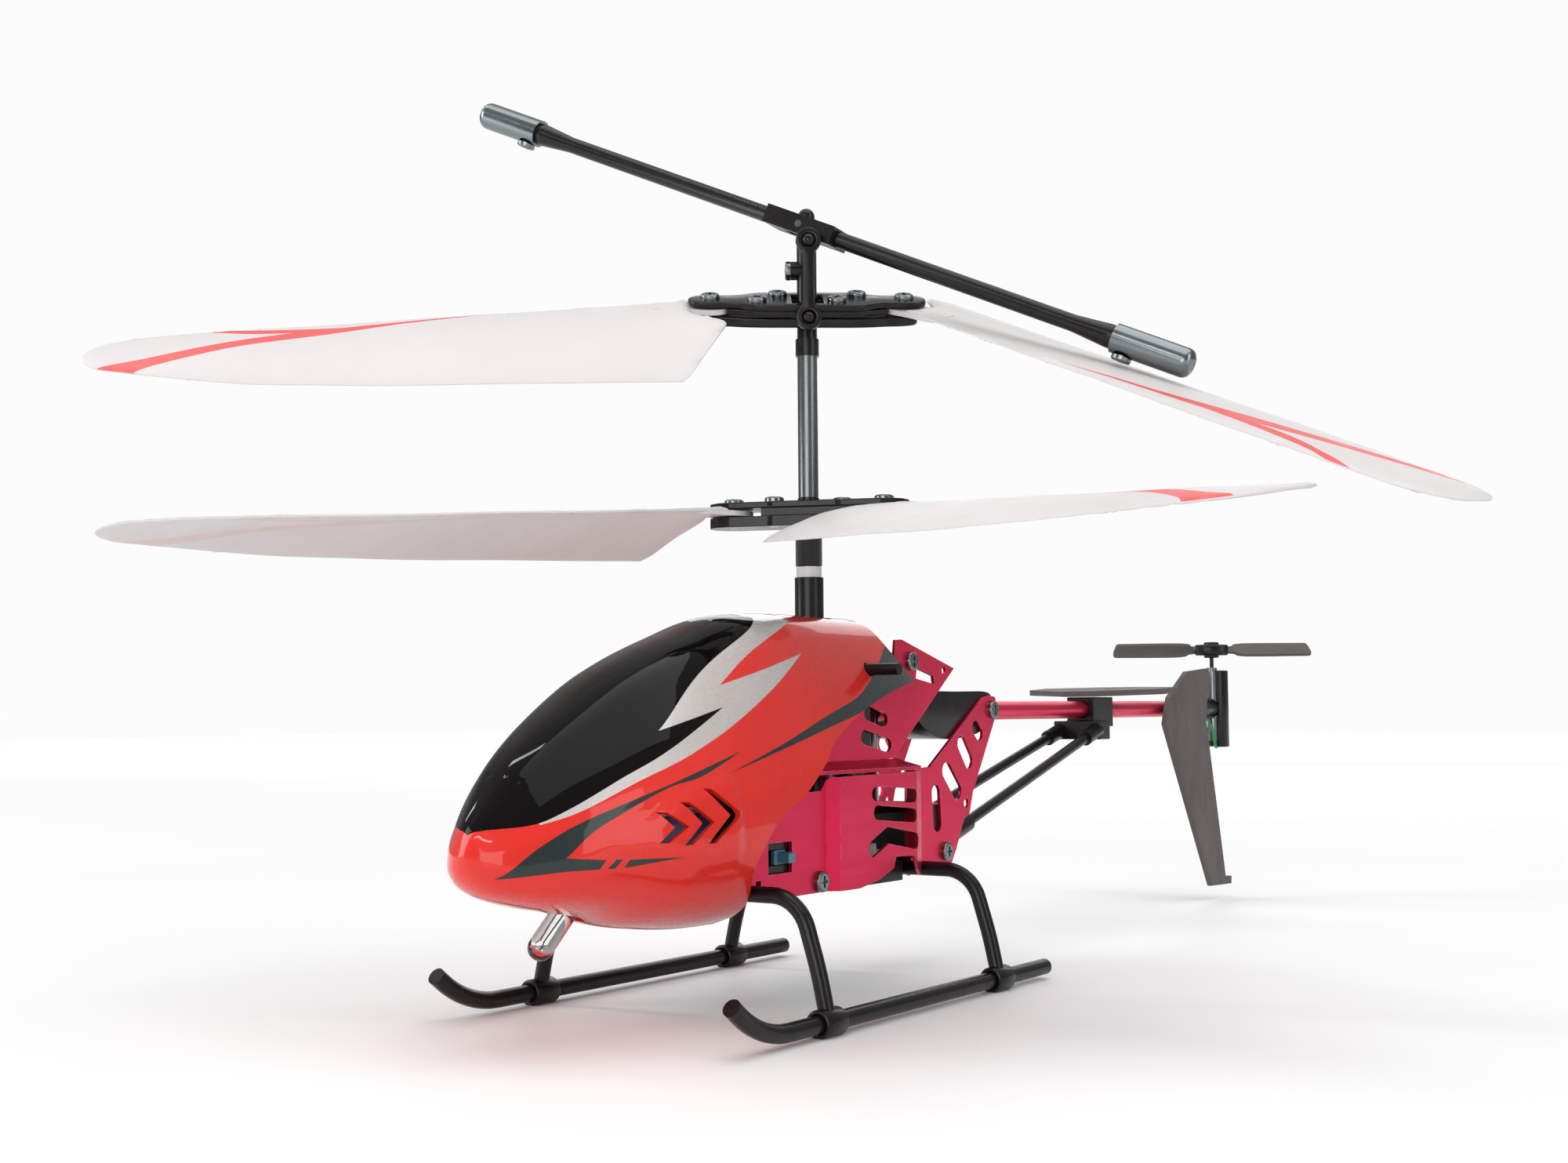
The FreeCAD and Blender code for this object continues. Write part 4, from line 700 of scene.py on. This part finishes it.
def build_tab(name, place, turning):
    """The drilled root lug that the grip's screw passes through, with a tapered arm into the blade."""
    arm = [
        (0.9, -2.55), (3.6, -2.25), (6.6, -2.2), (8.2, -1.2), (8.2, 1.6), (6.6, 2.2), (3.6, 2.25),
        (0.9, 2.55),
    ]
    arc = np.linspace(math.radians(72), math.radians(288), 22)
    round_end = [(TAB_RADIUS * math.cos(t), TAB_RADIUS * math.sin(t)) for t in arc]
    outline = smooth_line(arm, {0, 7}, closed=False, step=0.5)[1:-1] + round_end
    flat, faces, _ = triangulate(outline, [], [ring((0, 0), 0.8, 24)], [], 0.1)
    flip = -1 if turning < 0 else 1
    points = [tuple(place @ Vector((x, flip * y, -TAB_HALF))) for x, y in flat]
    lug = mesh_object(name + "_lug", points, faces, [M["blade_plastic"]])
    modify(lug, "SOLIDIFY", thickness=2 * TAB_HALF * MM, offset=0)
    apply_modifiers(lug)
    lift = (place.to_3x3() @ Vector((0, 0, 1))).normalized() * TAB_HALF * MM
    for vertex in lug.data.vertices:
        vertex.co += lift
    return lug


def join_into(first, *others):
    """Joins meshes of the same piece, keeping the first one's name and materials."""
    slots = list(first.data.materials)
    shell = bmesh.new()
    shell.from_mesh(first.data)
    for other in others:
        before = len(shell.faces)
        shell.from_mesh(other.data)
        shell.faces.ensure_lookup_table()
        for face in list(shell.faces)[before:]:
            material = other.data.materials[min(face.material_index, len(other.data.materials) - 1)]
            if material not in slots:
                slots.append(material)
                first.data.materials.append(material)
            face.material_index = slots.index(material)
    shell.to_mesh(first.data)
    shell.free()
    for other in others:
        bpy.data.objects.remove(other)
    return first


def blade_place(hub, pivot, side, lag):
    """side is 0 or 180 degrees about the hub; lag is the blade's own turn on its pivot."""
    return hub @ turned("Z", side) @ Matrix.Translation((pivot, 0, 0)) @ turned("Z", lag)


def build_blades():
    upper = hub_frame(UPPER_HUB, UPPER_TURN, HEAD_TILT)
    lower = hub_frame(LOWER_HUB, LOWER_TURN)
    for name, place, turning, above in (
        ("upper_blade_right", blade_place(upper, UPPER_PIVOT, 0, -51), 1, True),
        ("upper_blade_left", blade_place(upper, UPPER_PIVOT, 180, -3), 1, True),
        ("lower_blade_right", blade_place(lower, LOWER_PIVOT, 0, -51), -1, True),
        ("lower_blade_left", blade_place(lower, LOWER_PIVOT, 180, 53), -1, False),
    ):
        blade = build_blade(name + "_skin", place, turning, above)
        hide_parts(name)
        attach(blade, name + "_body")


build_blades()

# ---------------------------------------------------------------- rotor head and other moulded pieces
# The upper grip's layers, one quarter of each outline: distance outboard, distance from the centre line.
PLATE_QUARTER = [
    (16.7, 0), (16.4, 1.3), (15.4, 2.25), (13.6, 2.55), (11.3, 2.45), (9.6, 2.75), (8, 3.7), (6.4, 4.3),
    (3, 4.4),
]
COLLAR_QUARTER = [
    (10.6, 0), (10.8, 1.4), (11.3, 2.2), (10.2, 2.7), (8.6, 3.1), (7.2, 3.7), (5, 3.95), (2.5, 4.0),
]
BLOCK_QUARTER = [(10.5, 0), (10.7, 1.4), (11.2, 2.1), (10.2, 2.6), (8.6, 3.0), (6, 3.1), (3, 3.1)]
JAW_QUARTER = [(15.6, 0), (15.1, 1.5), (13.4, 2.3), (11, 2.6), (9, 3.05), (6, 3.3), (3, 3.3)]
POST_OPENING = (2.2, 2.75)
# Screws on each side: distance outboard, and the rows from the centre line.
SCREW_SPOTS = {13.6: (0,), 7.07: (1.7,), 4.08: (-1.7,)}
SCREW_BORE = 0.75
BALL_SPOT = (0, -5.4, 0)
BALL_RADIUS, EYE_BORE = 0.9, 0.95


def four_way(quarter):
    """A closed outline from the points of its first quarter, mirrored both ways."""
    upper = quarter + [(-x, y) for x, y in reversed(quarter)]
    whole = upper[:-1] + [(x, -y) for x, y in reversed(upper)][:-1]
    return [tuple(p) for p in smooth_line(whole, set(), step=0.35)]


def slab(name, outline, holes, heights, place, material, bevel):
    """A flat plate between two heights in its own frame, with eased edges."""
    low, high = heights
    flat, faces, _ = triangulate(outline, [], holes, [], 0.1)
    points = [tuple(place @ Vector((p[0], p[1], height))) for height in (high, low) for p in flat]
    plate = mesh_object(name, points, closed_plate(faces, len(flat)), [material])
    limit = math.radians(40)
    modify(plate, "BEVEL", width=bevel * MM, segments=3, limit_method="ANGLE", angle_limit=limit)
    apply_modifiers(plate, 45)
    return plate


def ball(name, centre, radius, material, place):
    """A moulded ball with a flat mark where it was fed, built up of latitude rings."""
    rows, count = 12, 24
    points = [(0, 0, -radius)]
    for i in range(1, rows):
        turn = math.pi * i / rows
        for k in range(count):
            around = 2 * math.pi * k / count
            wide = radius * math.sin(turn)
            points.append((wide * math.cos(around), wide * math.sin(around), -radius * math.cos(turn)))
    points.append((0, 0, radius * 0.96))
    last = len(points) - 1
    faces = [(0, 1 + (k + 1) % count, 1 + k) for k in range(count)]
    for i in range(rows - 2):
        a, b = 1 + i * count, 1 + (i + 1) * count
        faces += [(a + k, a + (k + 1) % count, b + (k + 1) % count, b + k) for k in range(count)]
    a = 1 + (rows - 2) * count
    faces += [(a + k, a + (k + 1) % count, last) for k in range(count)]
    placed = [tuple(place @ (Vector(p) + Vector(centre))) for p in points]
    return mesh_object(name, placed, faces, [material])


def screw_holes():
    spots = []
    for side in (-1, 1):
        for x, rows in SCREW_SPOTS.items():
            spots += [(side * x, side * y) for y in rows]
    return [ring(spot, SCREW_BORE) for spot in spots]


def build_upper_grip():
    place = hub_frame(UPPER_HUB, UPPER_TURN, HEAD_TILT)
    black = M["black_plastic"]
    wide, deep = POST_OPENING
    opening = [(-wide, -deep), (wide, -deep), (wide, deep), (-wide, deep)]
    holes = screw_holes()
    inner = [hole for hole in holes if abs(sum(p[0] for p in hole) / len(hole)) < 9]
    every, near = [opening] + holes, [opening] + inner
    plate = slab("upper_grip_top", four_way(PLATE_QUARTER), every, (0.57, 1.45), place, black, 0.22)
    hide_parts("upper_grip_plate")
    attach(plate, "head")
    collar = slab("grip_collar", four_way(COLLAR_QUARTER), near, (-0.2, 0.52), place, black, 0.12)
    jaw = slab("grip_jaw", four_way(JAW_QUARTER), every, (-2.0, -0.62), place, black, 0.25)
    block = slab("grip_block", four_way(BLOCK_QUARTER), near, (-0.6, -0.22), place, black, 0.08)
    stem = place @ Matrix.Translation(BALL_SPOT) @ turned("X", -90)
    neck = slab("ball_neck", ring((0, 0), 0.45), [], (0.6, 2.35), stem, black, 0.05)
    foot_line = four_way([(1.2, 0), (1.2, 0.6), (0.8, 0.8), (0.3, 0.8)])
    foot = slab("ball_foot", foot_line, [], (1.8, 2.4), stem, black, 0.1)
    knob_place = place @ Matrix.Translation(BALL_SPOT) @ turned("X", 90)
    knob = ball("grip_ball", (0, 0, 0), BALL_RADIUS, black, knob_place)
    grip = join_into(jaw, collar, block, neck, foot, knob)
    grip.name = "upper_grip_body"
    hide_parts("upper_grip")
    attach(grip, "head")


def build_link():
    """Straight link with a round eye at each end, snapped over two balls."""
    anchor = hub_frame(UPPER_HUB, UPPER_TURN, HEAD_TILT) @ Vector(BALL_SPOT)
    place = Matrix.Translation(anchor) @ turned("Z", UPPER_TURN) @ turned("X", 90)
    black = M["black_plastic"]
    eye, rise, neck, waist, shoulder = 1.75, 10.8, 0.95, 0.8, 2.2
    lean = math.asin(neck / eye)
    low = [(eye * math.sin(t), -eye * math.cos(t)) for t in np.linspace(0, math.pi - lean, 22)]
    right = low + [(waist, shoulder), (waist - 0.05, rise / 2), (waist, rise - shoulder)]
    right += [(x, rise - y) for x, y in reversed(low)]
    outline = right + [(-x, y) for x, y in reversed(right[1:-1])]
    bores = [ring((0, 0), EYE_BORE, 24), ring((0, rise), EYE_BORE, 24)]
    rod = slab("link_body", outline, bores, (-0.55, 0.55), place, black, 0.22)
    cap = ball("link_cap", (0, rise, 0.2), 0.93, black, place)
    rod = join_into(rod, cap)
    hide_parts("link_rod")
    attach(rod, "link")


# Turns a plate's own plan into a side view: its X along Y, its Y along Z.
SIDE_PLANE = Matrix(((0, 0, 1, 0), (1, 0, 0, 0), (0, 1, 0, 0), (0, 0, 0, 1)))
TAIL_ROTOR_Y = 146.3
TAIL_ROTOR = Matrix.Translation((0, TAIL_ROTOR_Y, 35)) @ turned("Z", 30)
TAIL_PITCH = 31.0
VANE_LINE = [
    (1.6, -0.9), (4.2, -1.1), (6.6, -2.2), (18.9, -2.2), (19.7, -1.6), (19.3, 1.9), (18.8, 2.2), (6.2, 2.2),
    (4, 1.1), (1.6, 0.9),
]
BOSS_LINE = [
    (3.3, -0.9), (3.3, 0.9), (1.5, 1.9), (-1.5, 1.9), (-3.3, 0.9), (-3.3, -0.9), (-1.5, -1.9), (1.5, -1.9),
]
BOOM_MOUNT_LINE = [
    (15, 24.4), (16.4, 25.9), (30, 26), (38.4, 26), (40.5, 25.1), (41, 23.4), (40.3, 21.5), (36, 19.7),
    (30, 19), (24.6, 19.1), (20, 20.6),
]


def build_tail_rotor():
    black = M["black_plastic"]
    outline = smooth_line(VANE_LINE, {0, 3, 6, 9}, step=0.4)
    vanes = []
    for side in (0, 180):
        place = TAIL_ROTOR @ turned("Z", side) @ turned("X", TAIL_PITCH)
        vanes.append(slab("tail_vane", outline, [], (-0.35, 0.3), place, M["matte_tail"], 0.15))
    bore = ring((0, 0), 0.42, 16)
    hub = slab("tail_hub", ring((0, 0), 1.5, 32), [bore], (-1.6, 1.6), TAIL_ROTOR, black, 0.25)
    boss = slab("tail_boss", BOSS_LINE, [], (-1.1, 1.1), TAIL_ROTOR, black, 0.45)
    rotor = join_into(hub, boss, *vanes)
    rotor.name = "tail_rotor_body_piece"
    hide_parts("tail_rotor")
    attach(rotor, "tail_rotor_body")


def build_motor_holder():
    """Split sleeve round the tail motor, open to the front, on a round socket for the boom."""
    black = M["black_plastic"]
    sleeve_radius, motor_radius, half_wrap = 3.15, 2.33, math.radians(138)
    arc = np.linspace(-half_wrap, half_wrap, 48)
    outer = [(sleeve_radius * math.sin(t), sleeve_radius * math.cos(t)) for t in arc]
    inner = [(motor_radius * math.sin(t), motor_radius * math.cos(t)) for t in reversed(arc)]
    place = Matrix.Translation((0, TAIL_ROTOR_Y, 0))
    sleeve = slab("motor_sleeve", outer + inner, [], (15.35, 30.8), place, black, 0.18)
    along = Matrix.Translation((0, 131.5, 23.1)) @ turned("X", -90)
    bore = ring((0, 0), 1.52, 32)
    socket = slab("boom_socket", ring((0, 0), 2.2, 40), [bore], (0, 12.6), along, black, 0.3)
    seat = ring((0, 0), 2.1, 32)
    collar = slab("socket_collar", ring((0, 0), 2.5, 40), [seat], (0.2, 2.2), along, black, 0.15)
    holder = join_into(sleeve, socket, collar)
    holder.name = "tail_motor_sleeve"
    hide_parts("tail_motor_holder")
    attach(holder, "airframe")


def build_boom_mount():
    outline = smooth_line(BOOM_MOUNT_LINE, {2}, step=0.5)
    block = slab("boom_block", outline, [], (-6.5, 6.5), SIDE_PLANE, M["black_plastic"], 0.7)
    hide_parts("boom_mount")
    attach(block, "airframe")


build_upper_grip()
build_link()
build_tail_rotor()
build_motor_holder()
build_boom_mount()

# ---------------------------------------------------------------- CAD nodes' materials and edges
# Nodes that are not named here are black plastic.
NODE_FINISH = {
    "nose_led": "clear_lens", "led_holder": "clear_lens", "battery_pack": "battery_wrap",
    "circuit_board": "board_green", "switch_slider": "blue_plastic",
    "left_lower_plate": "anodised_red", "right_lower_plate": "anodised_red",
    "left_upper_plate": "anodised_red", "right_upper_plate": "anodised_red",
    "main_motors": "steel", "upper_rotor_gear": "white_nylon", "lower_rotor_gear": "white_nylon",
    "front_motor_pinion": "brass", "rear_motor_pinion": "brass", "lower_grip_screws": "steel",
    "upper_grip_screws": "steel", "head_clamp_screw": "steel", "head_pivot_pin": "steel",
    "flybar_pivot_pin": "steel", "flybar_weights": "steel", "frame_screws": "steel",
    "inner_shaft": "dark_steel", "tail_boom": "anodised_red", "mast_spacer_ring": "white_nylon",
    "tail_motor_wires": "wire_green", "vertical_fin": "matte_tail", "horizontal_stabilizer": "matte_tail",
    "tail_motor": "steel",
}
# Width of the eased edge on the nodes that show one.
EASED = {
    "left_lower_plate": 0.12, "right_lower_plate": 0.12, "left_upper_plate": 0.12, "right_upper_plate": 0.12,
    "belly_tray": 0.2, "flybar_rod": 0.2, "lower_grip": 0.15, "lower_grip_plate": 0.15,
    "switch_slider": 0.15, "vertical_fin": 0.12, "horizontal_stabilizer": 0.12, "skid_collars": 0.25,
    "rear_spacer_block": 0.2, "stabilizer_clamp": 0.2, "mast_base": 0.3,
}
for name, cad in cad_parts.items():
    if cad.hide_render:
        continue
    finish = M[NODE_FINISH.get(name, "black_plastic")]
    cad.data.materials.clear()
    cad.data.materials.append(finish)
    if name in EASED:
        modify(cad, "WELD", merge_threshold=0.002 * MM)
        limit = math.radians(50)
        modify(cad, "BEVEL", width=EASED[name] * MM, segments=2, limit_method="ANGLE", angle_limit=limit)

# ---------------------------------------------------------------- floor, and the end
FLOOR_HALF, FLOOR_GAP = 2500, 0.02
ground = Finish("studio_floor", Roughness=0.55)
ground.colour(ground.ramp(ground.noise(3, 3), [(0.3, (0.86, 0.86, 0.87)), (0.7, (0.9, 0.9, 0.9))]))
ground.bump(ground.noise(400, 3), 0.00002)
reach = ground.add("VectorMath", {0: ground.place}, operation="LENGTH").outputs["Value"]
ground.shader.inputs["Emission Color"].default_value = (1, 1, 1, 1)
ground.tree.links.new(ground.fade(reach, 0.0, 0.62, 0.25, 1.2), ground.shader.inputs["Emission Strength"])
signs = ((-1, -1), (1, -1), (1, 1), (-1, 1))
floor_corners = [(x * FLOOR_HALF, y * FLOOR_HALF, GROUND - FLOOR_GAP) for x, y in signs]
floor = mesh_object("floor", floor_corners, [(0, 1, 2, 3)], [ground.material])
floor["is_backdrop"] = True

size = {"cad_box": CAD_BOX, "visual_box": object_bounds()}
size = {name: [list(corner) for corner in box] for name, box in size.items()}
